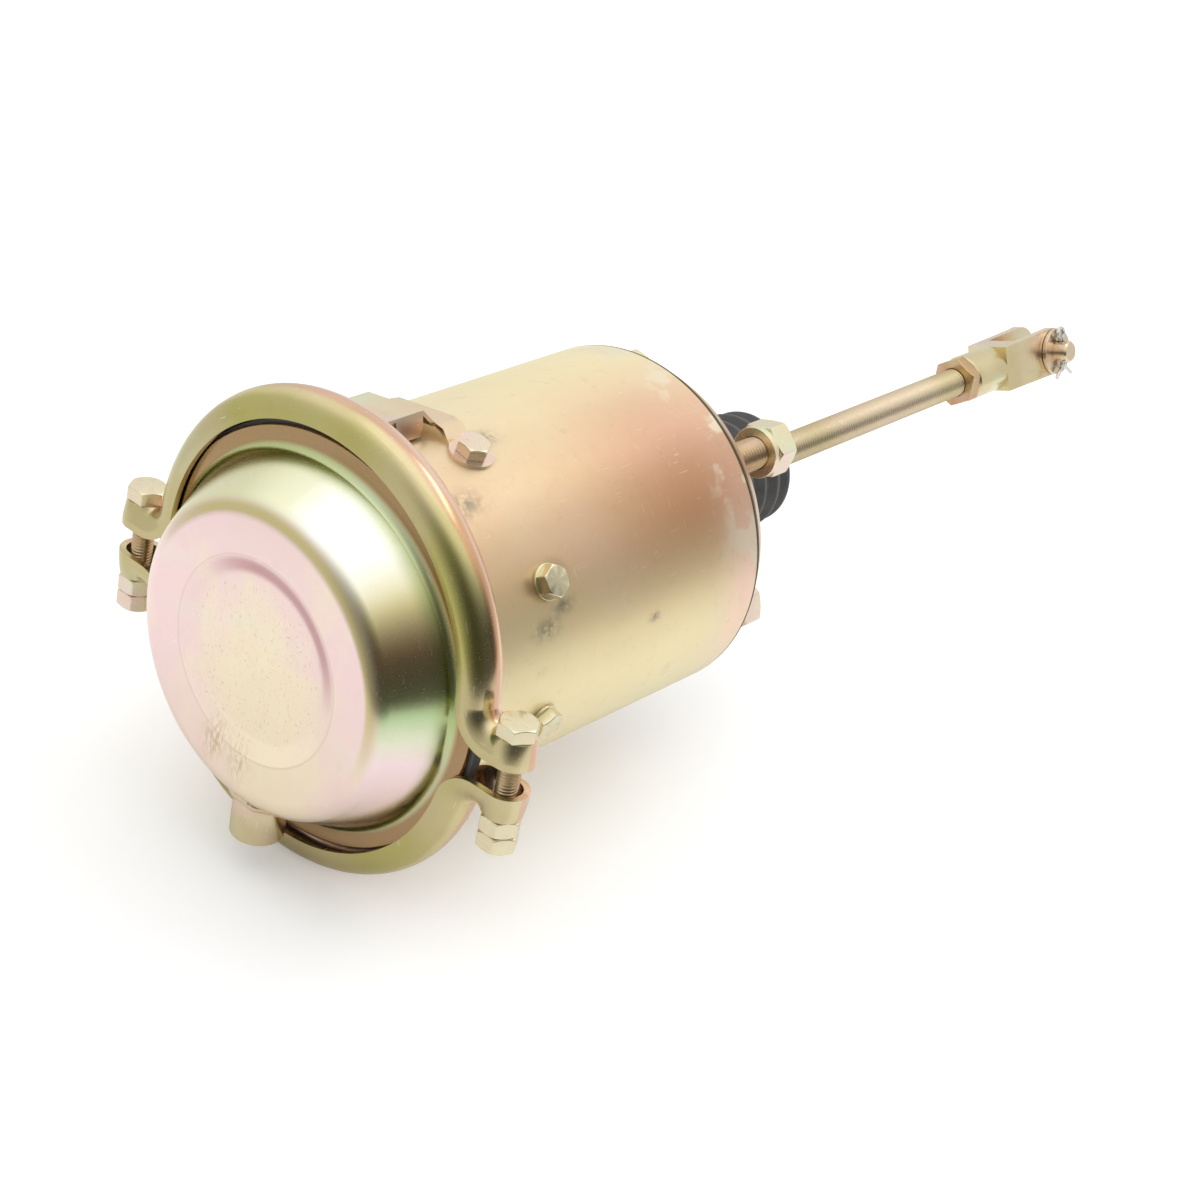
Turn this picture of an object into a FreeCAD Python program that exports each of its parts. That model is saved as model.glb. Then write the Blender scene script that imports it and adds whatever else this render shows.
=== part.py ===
import FreeCAD, Part
import math
import os

import Sketcher
from FreeCAD import Placement, Rotation, Vector

# Air brake chamber: a clamped diaphragm chamber in a long drawn housing, with its push rod and clevis.
# Frame: +X along the push rod towards the clevis, +Z along the clamp bolts, in millimetres.
# The origin is the middle of the flat rear face that the mounting studs stand on.

# Driving sizes, one row each: name and value.
SIZES = [
    # drawn housing
    ("housing_radius", 82.8),
    ("housing_wall", 2.5),
    ("rear_bevel_length", 12.5),
    ("rear_bevel_drop", 8.0),
    ("rear_wall", 3.0),
    ("vent_hole_radius", 3.0),
    ("vent_hole_spread", 7.0),
    # clamped joint between cover, diaphragm and housing
    ("clamp_distance", 210.5),
    ("flange_width", 10.4),
    ("flange_thickness", 3.0),
    ("diaphragm_rim", 5.6),
    ("flange_bend", 3.0),
    # front cover
    ("cover_depth", 37.5),
    ("cover_corner", 11.0),
    ("cover_draft", 25.0),
    ("cover_bend", 5.0),
    ("cover_wall", 3.0),
    ("recess_margin", 16.4),
    ("recess_slope", 9.0),
    ("recess_depth", 2.0),
    # air port
    ("port_setback", 15.5),
    ("port_radius", 12.0),
    ("port_length", 9.2),
    ("port_thread_radius", 7.2),
    # diaphragm and push plate
    ("diaphragm_wall", 3.5),
    ("diaphragm_rise", 30.0),
    ("diaphragm_clearance", 3.0),
    ("diaphragm_slope", 18.0),
    ("push_plate_margin", 2.0),
    ("push_plate_thickness", 4.0),
    ("push_plate_lip", 6.0),
    # clamp halves
    ("clamp_sink", 4.7),
    ("clamp_half_width", 10.0),
    ("clamp_sheet", 3.0),
    ("clamp_leg", 2.5),
    ("upper_lift", 11.5),
    ("lower_drop", 9.2),
    ("upper_ear_angle", 4.0),
    ("lower_ear_angle", 12.4),
    ("ear_bend", 16.0),
    ("ear_bolt_reach", 18.6),
    ("ear_seat_radius", 8.5),
    # clamp bolts, M10
    ("clamp_bolt_radius", 5.0),
    ("clamp_bolt_flats", 16.0),
    ("clamp_bolt_head", 6.4),
    ("clamp_bolt_length", 55.0),
    ("clamp_nut_height", 8.0),
    ("clamp_bolt_hole_radius", 5.5),
    # radial screws of the spring carrier, M8
    ("screw_distance", 57.0),
    ("screw_count", 8),
    ("screw_turn", 12.8),
    ("screw_radius", 4.0),
    ("screw_flats", 13.0),
    ("screw_head", 5.3),
    ("screw_length", 18.0),
    ("screw_hole_radius", 4.5),
    ("washer_radius", 8.0),
    ("washer_thickness", 1.6),
    ("dimple_radius", 10.6),
    ("dimple_depth", 0.5),
    ("carrier_nut_height", 6.5),
    # spring carrier
    ("carrier_wall", 3.0),
    ("carrier_rim_ahead", 10.0),
    ("carrier_rim_behind", 10.0),
    ("carrier_depth", 45.5),
    ("carrier_seat_margin", 5.25),
    ("carrier_hole_radius", 14.0),
    # return spring
    ("spring_gap", 10.3),
    ("spring_wire", 2.75),
    ("spring_turns", 7.0),
    # vent hood
    ("hood_turn", 9.7),
    ("hood_side_gap", 7.55),
    ("hood_front_ahead", 35.0),
    ("hood_roof_ahead", 13.0),
    ("hood_strap_half_width", 6.0),
    ("hood_roof_rise", 11.7),
    ("hood_strap_rise", 4.7),
    ("hood_shoulder_gap", 2.55),
    ("hood_shoulder_rise", 3.0),
    ("hood_skirt", 8.0),
    ("hood_tab", 10.5),
    ("hood_tab_ahead", 29.0),
    ("hood_tab_length", 16.0),
    ("hood_eye_radius", 10.2),
    # rear wall: stud plate, studs, nuts, rod guide
    ("stud_inset", 14.5),
    ("stud_count", 4),
    ("stud_turn", 44.0),
    ("stud_radius", 8.0),
    ("stud_shoulder", 0.4),
    ("stud_thread_relief", 0.2),
    ("stud_reach", 49.0),
    ("stud_head_flats", 22.0),
    ("stud_head", 6.0),
    ("stud_plate_gap", 6.8),
    ("stud_plate_thickness", 6.0),
    ("nut_flats", 24.0),
    ("nut_height", 13.0),
    ("nut_standoff", 29.0),
    ("spring_washer_thickness", 3.5),
    ("spring_washer_radius", 12.5),
    ("spigot_radius", 19.0),
    ("spigot_reach", 16.0),
    ("spigot_groove", 2.0),
    ("spigot_flange_radius", 26.0),
    ("spigot_flange", 4.0),
    ("bush_wall", 4.0),
    ("bush_flange", 3.0),
    # boot
    ("boot_crest_radius", 29.5),
    ("boot_root_radius", 26.0),
    ("boot_wall", 2.0),
    ("boot_pitch", 10.5),
    ("boot_fold_count", 7),
    ("boot_lead", 1.5),
    ("boot_neck_radius", 12.0),
    ("boot_neck_length", 9.0),
    ("boot_clip_wire", 1.2),
    # push rod and its nuts
    ("rod_radius", 8.0),
    ("rod_end", 322.0),
    ("rod_plate_nut_flats", 24.0),
    ("rod_plate_nut_height", 8.0),
    ("jam_nut_start", 275.5),
    ("jam_nut_height", 8.0),
    ("running_gap", 0.05),
    ("touch_gap", 0.3),
    # clevis and its pin
    ("clevis_turn", 22.0),
    ("clevis_start", 284.0),
    ("clevis_neck_radius", 12.7),
    ("clevis_block_start", 311.5),
    ("clevis_half_side", 12.5),
    ("clevis_slot_half_width", 8.0),
    ("clevis_slot_start", 326.0),
    ("clevis_pin_place", 359.5),
    ("clevis_eye_radius", 13.2),
    ("clevis_eye_boss", 0.8),
    ("pin_radius", 6.0),
    ("pin_head_radius", 9.0),
    ("pin_head", 4.0),
    ("pin_end_reach", 24.5),
    ("pin_washer_radius", 13.0),
    ("pin_washer_thickness", 2.5),
    ("cotter_wire", 1.0),
    ("cotter_gap", 0.15),
    ("cotter_hole_radius", 2.3),
    ("cotter_leg", 13.0),
    ("cotter_eye_radius", 2.9),
    ("cotter_neck_radius", 1.5),
    ("cotter_bend_radius", 3.0),
    ("cotter_spread", 50.0),
    # shared details
    ("hex_chamfer", 1.5),
    ("hex_inset", 0.25),
    ("edge_break", 1.0),
]

doc = FreeCAD.newDocument("air_brake_chamber")
sheet = doc.addObject("Spreadsheet::Sheet", "Sizes")
for row, (size_name, size_value) in enumerate(SIZES, start=1):
    sheet.set("A%d" % row, size_name)
    sheet.set("B%d" % row, str(size_value))
    sheet.setAlias("B%d" % row, size_name)
doc.recompute()


class Size:
    """A number together with the expression that works it out from the sheet."""

    def __init__(self, value, text):
        self.value = value
        self.text = text

    @staticmethod
    def of(thing):
        return thing if isinstance(thing, Size) else Size(float(thing), "(%.6f)" % float(thing))

    def __add__(self, other):
        other = Size.of(other)
        return Size(self.value + other.value, "(%s + %s)" % (self.text, other.text))

    def __sub__(self, other):
        other = Size.of(other)
        return Size(self.value - other.value, "(%s - %s)" % (self.text, other.text))

    def __mul__(self, other):
        other = Size.of(other)
        return Size(self.value * other.value, "(%s * %s)" % (self.text, other.text))

    def __truediv__(self, other):
        other = Size.of(other)
        return Size(self.value / other.value, "(%s / %s)" % (self.text, other.text))

    def __radd__(self, other):
        return Size.of(other) + self

    def __rsub__(self, other):
        return Size.of(other) - self

    def __rmul__(self, other):
        return Size.of(other) * self

    def __rtruediv__(self, other):
        return Size.of(other) / self

    def __neg__(self):
        return Size.of(0) - self


def cosine(degrees):
    degrees = Size.of(degrees)
    return Size(math.cos(math.radians(degrees.value)), "cos(%s * 1 deg)" % degrees.text)


def sine(degrees):
    degrees = Size.of(degrees)
    return Size(math.sin(math.radians(degrees.value)), "sin(%s * 1 deg)" % degrees.text)


def root(square):
    return Size(math.sqrt(square.value), "sqrt(%s)" % square.text)


class SheetSizes:
    """The sheet's cells as Size objects, one attribute per alias."""


S = SheetSizes()
for size_name, size_value in SIZES:
    setattr(S, size_name, Size(float(size_value), "Sizes." + size_name))


def new_body(name):
    body = doc.addObject("PartDesign::Body", name)
    body.Label = name
    return body


def turn_body(body, degrees, axis=(1, 0, 0)):
    """Turns the whole body about the push rod's axis by a size of the sheet."""
    body.Placement = Placement(Vector(0, 0, 0), Rotation(Vector(*axis), degrees.value))
    body.setExpression("Placement.Rotation.Angle", "%s * 1 deg" % degrees.text)


def origin_part(body, role):
    return next(f for f in body.Origin.OriginFeatures if f.Role == role)


def new_sketch(body, name, plane, x=0, y=0, lift=0, tilt=None):
    """A sketch on one of the body's own planes, lifted along its normal and tilted about its first axis."""
    sketch = body.newObject("Sketcher::SketchObject", name)
    sketch.AttachmentSupport = [(origin_part(body, plane), "")]
    sketch.MapMode = "FlatFace"
    if tilt is not None:
        sign = 1 if tilt.value > 0 else -1
        turned = Rotation(Vector(sign, 0, 0), abs(tilt.value))
        sketch.AttachmentOffset = Placement(Vector(0, 0, 0), turned)
        sketch.setExpression("AttachmentOffset.Rotation.Angle", "%s * 1 deg" % (sign * tilt).text)
    for axis, place in (("x", x), ("y", y), ("z", lift)):
        place = Size.of(place)
        if place.value != 0:
            sketch.setExpression("AttachmentOffset.Base." + axis, place.text)
    return sketch


class Outline:
    """A closed outline in a sketch: lines and arcs whose corners are bound to sizes."""

    def __init__(self, sketch, x, y):
        self.sketch = sketch
        self.start = (Size.of(x), Size.of(y))
        self.here = self.start
        self.first = None
        self.last = None

    def bind(self, kind, element, point, size):
        number = self.sketch.addConstraint(Sketcher.Constraint(kind, -1, 1, element, point, size.value))
        self.sketch.setExpression("Constraints[%d]" % number, size.text)

    def fix(self, element, point, x, y):
        self.bind("DistanceX", element, point, x)
        self.bind("DistanceY", element, point, y)

    def join(self, element, point):
        if self.last is None:
            self.first = (element, point)
            self.fix(element, point, *self.start)
        else:
            self.sketch.addConstraint(Sketcher.Constraint("Coincident", *self.last, element, point))

    def line(self, x, y):
        x, y = Size.of(x), Size.of(y)
        start = Vector(self.here[0].value, self.here[1].value, 0)
        element = self.sketch.addGeometry(Part.LineSegment(start, Vector(x.value, y.value, 0)), False)
        self.join(element, 1)
        self.fix(element, 2, x, y)
        self.last = (element, 2)
        self.here = (x, y)
        return self

    def arc(self, centre_x, centre_y, x, y, left=True):
        """An arc about a centre, turning left or right on the way round."""
        centre_x, centre_y, x, y = (Size.of(v) for v in (centre_x, centre_y, x, y))
        centre = Vector(centre_x.value, centre_y.value, 0)
        a = math.atan2(self.here[1].value - centre.y, self.here[0].value - centre.x)
        b = math.atan2(y.value - centre.y, x.value - centre.x)
        radius = math.hypot(self.here[0].value - centre.x, self.here[1].value - centre.y)
        circle = Part.Circle(centre, Vector(0, 0, 1), radius)
        ends = (a, b) if left else (b, a)
        element = self.sketch.addGeometry(Part.ArcOfCircle(circle, *ends), False)
        near, far = (1, 2) if left else (2, 1)
        self.join(element, near)
        self.fix(element, 3, centre_x, centre_y)
        if abs(math.sin(b)) > abs(math.cos(b)):
            self.bind("DistanceX", element, far, x)
        else:
            self.bind("DistanceY", element, far, y)
        self.last = (element, far)
        self.here = (x, y)
        return self

    def arc_home(self, centre_x, centre_y):
        """A left-turning half circle back to where the outline began."""
        centre_x, centre_y = Size.of(centre_x), Size.of(centre_y)
        radius = abs(self.start[0].value - centre_x.value)
        shape = Part.Circle(Vector(centre_x.value, centre_y.value, 0), Vector(0, 0, 1), radius)
        element = self.sketch.addGeometry(Part.ArcOfCircle(shape, 0, math.pi), False)
        self.sketch.addConstraint(Sketcher.Constraint("Coincident", *self.last, element, 2))
        self.sketch.addConstraint(Sketcher.Constraint("Coincident", element, 1, *self.first))
        self.bind("DistanceY", element, 3, centre_y)

    def close(self):
        start = Vector(self.here[0].value, self.here[1].value, 0)
        end = Vector(self.start[0].value, self.start[1].value, 0)
        element = self.sketch.addGeometry(Part.LineSegment(start, end), False)
        self.sketch.addConstraint(Sketcher.Constraint("Coincident", *self.last, element, 1))
        self.sketch.addConstraint(Sketcher.Constraint("Coincident", element, 2, *self.first))
        return self.sketch


def circle(sketch, radius, x=0, y=0):
    x, y, radius = Size.of(x), Size.of(y), Size.of(radius)
    shape = Part.Circle(Vector(x.value, y.value, 0), Vector(0, 0, 1), radius.value)
    element = sketch.addGeometry(shape, False)
    for kind, size in (("DistanceX", x), ("DistanceY", y)):
        number = sketch.addConstraint(Sketcher.Constraint(kind, -1, 1, element, 3, size.value))
        sketch.setExpression("Constraints[%d]" % number, size.text)
    number = sketch.addConstraint(Sketcher.Constraint("Radius", element, radius.value))
    sketch.setExpression("Constraints[%d]" % number, radius.text)
    return sketch


def hexagon(sketch, flats, x=0, y=0):
    """A hexagon with two of its corners along the sketch's first axis."""
    corner = flats / math.sqrt(3)
    points = [(x + corner * cosine(60 * k), y + corner * sine(60 * k)) for k in range(6)]
    outline = Outline(sketch, *points[0])
    for point in points[1:]:
        outline.line(*point)
    return outline.close()


def revolve(body, name, sketch, axis="H_Axis", cut=False, both_ways=None, back=None):
    """A full turn of a sketch about its own axis, or an angle shared both ways, or one backwards."""
    kind = "PartDesign::Groove" if cut else "PartDesign::Revolution"
    feature = body.newObject(kind, name)
    feature.Profile = (sketch, [""])
    feature.ReferenceAxis = (sketch, [axis])
    angle = both_ways or back
    if angle is not None:
        feature.Midplane = both_ways is not None
        feature.Reversed = back is not None
        feature.Angle = angle.value
        feature.setExpression("Angle", "%s * 1 deg" % angle.text)
    return feature


def pad(body, name, sketch, length, back=False):
    feature = body.newObject("PartDesign::Pad", name)
    feature.Profile = (sketch, [""])
    feature.Reversed = back
    feature.setExpression("Length", Size.of(length).text)
    return feature


def pocket(body, name, sketch, length, back=False):
    """A pocket cuts against the sketch's normal, or along it where back is set."""
    feature = body.newObject("PartDesign::Pocket", name)
    feature.Profile = (sketch, [""])
    feature.Reversed = back
    feature.setExpression("Length", Size.of(length).text)
    return feature


def polar(body, name, originals, count, angle=360):
    """Copies features about the push rod's axis."""
    feature = body.newObject("PartDesign::PolarPattern", name)
    feature.Originals = originals
    feature.Axis = (origin_part(body, "X_Axis"), [""])
    feature.setExpression("Angle", "%s * 1 deg" % Size.of(angle).text)
    feature.setExpression("Occurrences", Size.of(count).text)
    body.Tip = feature
    return feature


def mirror(body, name, originals, plane):
    feature = body.newObject("PartDesign::Mirrored", name)
    feature.Originals = originals
    feature.MirrorPlane = (origin_part(body, plane), [""])
    body.Tip = feature
    return feature


def trim_corners(body, flats, ends, lying=False, **place):
    """Turns a hexagon's corners down at its ends, each given with +1 where its metal lies above, or -1.

    The hexagon's axis runs up through the sketch's origin, or lies along the rod.
    """
    corner = flats / math.sqrt(3)
    features = []
    for end, inward in ends:
        sketch = new_sketch(body, "TrimSketch", "XZ_Plane", **place)
        low_end = end + inward * S.hex_chamfer
        points = [(flats / 2 - S.hex_inset, end), (corner + 1, end), (corner + 1, low_end)]
        if lying:
            points = [(along, across) for across, along in points]
        outline = Outline(sketch, *points[0])
        for point in points[1:]:
            outline.line(*point)
        axis = "H_Axis" if lying else "V_Axis"
        features.append(revolve(body, "Trim", outline.close(), axis, cut=True))
    return features


# Places and radii that several pieces share
CLAMP_X = -S.clamp_distance
SCREW_X = CLAMP_X + S.screw_distance
CARRIER_SEAT = SCREW_X + S.carrier_depth
HOUSING_FLANGE_FRONT = CLAMP_X + S.diaphragm_rim / 2
HOUSING_FLANGE_BACK = HOUSING_FLANGE_FRONT + S.flange_thickness
COVER_FLANGE_BACK = CLAMP_X - S.diaphragm_rim / 2
COVER_FLANGE_FRONT = COVER_FLANGE_BACK - S.flange_thickness
COVER_FACE = CLAMP_X - S.cover_depth
HOUSING_BORE = S.housing_radius - S.housing_wall
REAR_FACE_RADIUS = S.housing_radius - S.rear_bevel_drop
FLANGE_RADIUS = S.housing_radius + S.flange_width
COVER_RADIUS = S.housing_radius
COVER_BEND_X = COVER_FLANGE_FRONT - S.cover_bend
COVER_BEND_RADIUS = COVER_RADIUS + S.cover_bend * cosine(S.cover_draft)
COVER_MOUTH = COVER_BEND_X + S.cover_bend * sine(S.cover_draft)
COVER_SLOPE = sine(S.cover_draft) / cosine(S.cover_draft)
CORNER_X = COVER_FACE + S.cover_corner
CORNER_END = CORNER_X - S.cover_corner * sine(S.cover_draft)
CORNER_END_RADIUS = COVER_RADIUS - (COVER_MOUTH - CORNER_END) * COVER_SLOPE
FACE_RADIUS = CORNER_END_RADIUS - S.cover_corner * cosine(S.cover_draft)
PORT_REACH = COVER_RADIUS + S.port_length
CLAMP_RADIUS = FLANGE_RADIUS - S.clamp_sink
EAR_SPREAD = FLANGE_RADIUS + S.ear_bolt_reach
STUD_CIRCLE = REAR_FACE_RADIUS - S.stud_inset
STUD_PLATE_RADIUS = REAR_FACE_RADIUS - S.stud_plate_gap
STUD_SHOULDER = S.stud_radius + S.stud_shoulder
STUD_THREAD = S.stud_radius - S.stud_thread_relief
SHOULDER_RADIUS = COVER_RADIUS - S.cover_wall - S.diaphragm_wall / 2 - S.diaphragm_clearance
CROWN_RADIUS = SHOULDER_RADIUS - S.diaphragm_slope
PUSH_PLATE_RADIUS = CROWN_RADIUS - S.push_plate_margin
SPRING_RADIUS = PUSH_PLATE_RADIUS - S.push_plate_thickness - S.spring_wire - S.spring_gap
CARRIER_SEAT_RADIUS = SPRING_RADIUS + S.spring_wire + S.carrier_seat_margin
CARRIER_BORE = HOUSING_BORE - S.carrier_wall
WASHER_SEAT = S.housing_radius - S.dimple_depth
BOOT_END = S.spigot_reach + S.boot_lead + S.boot_fold_count * S.boot_pitch + S.boot_neck_length / 2
HEAD_SEAT = WASHER_SEAT + S.washer_thickness
SCREW_PITCH = 360 / S.screw_count
DIAPHRAGM_BACK = CLAMP_X - S.diaphragm_rise + S.diaphragm_rim / 2
PLATE_BACK = DIAPHRAGM_BACK + S.touch_gap + S.push_plate_thickness


def front_cover():
    """Drawn dish with a drafted side, a shallow round recess in its face and a flange for the clamp."""
    body = new_body("front_cover")
    sketch = new_sketch(body, "CoverSketch", "XZ_Plane")
    face, wall, draft = COVER_FACE, S.cover_wall, S.cover_draft
    inner = S.cover_corner - wall
    inner_end = CORNER_X - inner * sine(draft)
    inner_radius = FACE_RADIUS + inner * cosine(draft)
    recess = FACE_RADIUS - S.recess_margin
    outline = Outline(sketch, face + S.recess_depth, 0)
    outline.line(face + S.recess_depth, recess - S.recess_slope)
    outline.line(face, recess)
    outline.line(face, FACE_RADIUS)
    outline.arc(CORNER_X, FACE_RADIUS, CORNER_END, CORNER_END_RADIUS, left=False)
    outline.line(COVER_MOUTH, COVER_RADIUS)
    outline.arc(COVER_BEND_X, COVER_BEND_RADIUS, COVER_FLANGE_FRONT, COVER_BEND_RADIUS)
    outline.line(COVER_FLANGE_FRONT, FLANGE_RADIUS)
    outline.line(COVER_FLANGE_BACK, FLANGE_RADIUS)
    outline.line(COVER_FLANGE_BACK, inner_radius + (COVER_FLANGE_BACK - inner_end) * COVER_SLOPE)
    outline.line(inner_end, inner_radius)
    outline.arc(CORNER_X, FACE_RADIUS, face + wall, FACE_RADIUS)
    outline.line(face + wall, recess + 1)
    outline.line(face + wall + S.recess_depth, recess - S.recess_slope + 1)
    outline.line(face + wall + S.recess_depth, 0)
    revolve(body, "CoverShell", outline.close())
    hole = new_sketch(body, "PortHoleSketch", "XY_Plane", x=COVER_FACE + S.port_setback)
    pocket(body, "PortHole", circle(hole, S.port_thread_radius), COVER_RADIUS + 1)
    return body


def air_port():
    """Threaded boss welded to the lower side of the cover, where the air pipe screws in."""
    body = new_body("air_port")
    place = COVER_FACE + S.port_setback
    sketch = new_sketch(body, "BossSketch", "XZ_Plane", x=place)
    bore = S.port_thread_radius
    outline = Outline(sketch, bore, -PORT_REACH + S.edge_break)
    outline.line(bore + S.edge_break, -PORT_REACH)
    outline.line(S.port_radius - S.edge_break, -PORT_REACH)
    outline.line(S.port_radius, -PORT_REACH + S.edge_break)
    outline.line(S.port_radius, S.cover_wall - FACE_RADIUS)
    outline.line(bore, S.cover_wall - FACE_RADIUS)
    revolve(body, "Boss", outline.close(), "V_Axis")
    # the cover's outside is taken away, so the boss is coped to the dish it is welded on
    cope = new_sketch(body, "CopeSketch", "XZ_Plane")
    outline = Outline(cope, COVER_FACE, 0)
    outline.line(COVER_FACE, FACE_RADIUS)
    outline.arc(CORNER_X, FACE_RADIUS, CORNER_END, CORNER_END_RADIUS, left=False)
    outline.line(COVER_MOUTH, COVER_RADIUS)
    outline.line(CLAMP_X, COVER_RADIUS)
    outline.line(CLAMP_X, 0)
    revolve(body, "Cope", outline.close(), cut=True)
    return body


def diaphragm():
    """Rubberised fabric diaphragm, domed forwards at rest, with its rim gripped between the flanges."""
    body = new_body("diaphragm")
    sketch = new_sketch(body, "DiaphragmSketch", "XZ_Plane")
    back, wall = DIAPHRAGM_BACK, S.diaphragm_wall
    rim_front, rim_back = COVER_FLANGE_BACK, HOUSING_FLANGE_FRONT
    outline = Outline(sketch, back, 0)
    outline.line(back, CROWN_RADIUS - wall / 2)
    outline.line(rim_back, SHOULDER_RADIUS - wall / 2)
    outline.line(rim_back, FLANGE_RADIUS)
    outline.line(rim_front, FLANGE_RADIUS)
    outline.line(rim_front, SHOULDER_RADIUS + wall / 2)
    outline.line(back - wall, CROWN_RADIUS + wall / 2)
    outline.line(back - wall, 0)
    revolve(body, "DiaphragmShell", outline.close())
    return body


def channel_outline(sketch, y=0):
    """Section of the clamp channel: a half-round back with two short straight legs."""
    half, leg = S.clamp_half_width, S.clamp_leg
    inner = half - S.clamp_sheet
    outline = Outline(sketch, half, y)
    outline.line(half, y - leg)
    outline.line(inner, y - leg)
    outline.line(inner, y)
    outline.arc(0, y, -inner, y)
    outline.line(-inner, y - leg)
    outline.line(-half, y - leg)
    outline.line(-half, y)
    outline.arc_home(0, y)
    return sketch


def clamp_half(name, side, centre_shift, ear_angle):
    """Half of the clamp ring: a round-backed channel whose ends turn out into the bolt ears.

    Side is +1 for the upper half and -1 for the lower. Both are drawn as an upper half, and the
    lower one is turned about the rod's axis.
    """
    body = new_body(name)
    radius, bend, half = CLAMP_RADIUS, S.ear_bend, S.clamp_half_width
    ear_y = (radius + bend) * cosine(ear_angle)
    ear_z = centre_shift + (radius + bend) * sine(ear_angle) - bend

    crown = new_sketch(body, "CrownSketch", "XZ_Plane", x=CLAMP_X, y=centre_shift)
    ring = revolve(body, "Crown", channel_outline(crown, radius), both_ways=180 - ear_angle * 2)

    # the channel turns outwards to each ear, runs on to the bolt and ends in a half turn about it
    turn_out = new_sketch(body, "TurnOutSketch", "XZ_Plane", x=CLAMP_X, y=ear_z + bend, lift=-ear_y)
    ear_bend = revolve(body, "TurnOut", channel_outline(turn_out, -bend), back=90 - ear_angle)
    run = new_sketch(body, "EarSketch", "XZ_Plane", x=CLAMP_X, y=ear_z, lift=-ear_y)
    ear = pad(body, "Ear", channel_outline(run), EAR_SPREAD - ear_y, back=True)
    end = new_sketch(body, "EarEndSketch", "YZ_Plane", x=EAR_SPREAD, y=ear_z, lift=CLAMP_X)
    outline = Outline(end, 0, half)
    outline.arc(0, 0, half, 0, left=False)
    outline.line(half, -S.clamp_leg)
    outline.line(half - S.clamp_sheet, -S.clamp_leg)
    outline.line(half - S.clamp_sheet, 0)
    outline.arc(0, 0, 0, half - S.clamp_sheet)
    ear_end = revolve(body, "EarEnd", outline.close(), "V_Axis", both_ways=Size.of(180))

    # flat seat under the bolt head or nut, pressed into the crown
    seat_top = ear_z + half
    seat = new_sketch(body, "SeatSketch", "XY_Plane", x=CLAMP_X, y=EAR_SPREAD,
                      lift=seat_top - S.clamp_sheet)
    seat_pad = pad(body, "Seat", circle(seat, S.ear_seat_radius), S.clamp_sheet)
    hole = new_sketch(body, "BoltHoleSketch", "XY_Plane", x=CLAMP_X, y=EAR_SPREAD,
                      lift=seat_top + 1)
    hole_cut = pocket(body, "BoltHole", circle(hole, S.clamp_bolt_hole_radius), S.clamp_sheet * 2 + 2)
    other_ear = mirror(body, "OtherEar", [ear_bend, ear, ear_end, seat_pad, hole_cut], "XZ_Plane")
    # the crown's and the ears' faces stay apart: joined, they make a shell that can't be oriented
    other_ear.Refine = False
    if side < 0:
        turn_body(body, Size.of(180))
    return body


def ear_height(centre_shift, ear_angle):
    """Height of an ear's flat seat over the rod's axis."""
    turn_out = (CLAMP_RADIUS + S.ear_bend) * sine(ear_angle)
    return centre_shift + turn_out - S.ear_bend + S.clamp_half_width


UPPER_SEAT = ear_height(S.upper_lift, S.upper_ear_angle)
LOWER_SEAT = -ear_height(S.lower_drop, S.lower_ear_angle)


def clamp_bolts():
    """Two hexagon bolts that draw the clamp halves together."""
    body = new_body("clamp_bolts")
    spread = EAR_SPREAD
    head = new_sketch(body, "HeadSketch", "XY_Plane", x=CLAMP_X, y=spread, lift=UPPER_SEAT)
    head_pad = pad(body, "Head", hexagon(head, S.clamp_bolt_flats), S.clamp_bolt_head)
    top = UPPER_SEAT + S.clamp_bolt_head
    trims = trim_corners(body, S.clamp_bolt_flats, [(top, -1)], x=CLAMP_X, lift=-spread)
    shank = new_sketch(body, "ShankSketch", "XY_Plane", x=CLAMP_X, y=spread, lift=UPPER_SEAT)
    circle(shank, S.clamp_bolt_radius)
    shank_pad = pad(body, "Shank", shank, S.clamp_bolt_length, back=True)
    mirror(body, "OtherSide", [head_pad, *trims, shank_pad], "XZ_Plane")
    return body


def clamp_nut_pair(name, top):
    """Two hexagon nuts on the clamp bolts, one at each ear, with their upper faces at the given height."""
    body = new_body(name)
    spread = EAR_SPREAD
    block = new_sketch(body, "NutSketch", "XY_Plane", x=CLAMP_X, y=spread, lift=top)
    flats = S.clamp_bolt_flats
    features = [pad(body, "Nut", hexagon(block, flats), S.clamp_nut_height, back=True)]
    ends = [(top, -1), (top - S.clamp_nut_height, 1)]
    features += trim_corners(body, flats, ends, x=CLAMP_X, lift=-spread)
    hole = new_sketch(body, "BoreSketch", "XY_Plane", x=CLAMP_X, y=spread, lift=top + 1)
    circle(hole, S.clamp_bolt_radius)
    features.append(pocket(body, "Bore", hole, S.clamp_nut_height + 2))
    mirror(body, "OtherSide", features, "XZ_Plane")
    return body


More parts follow.
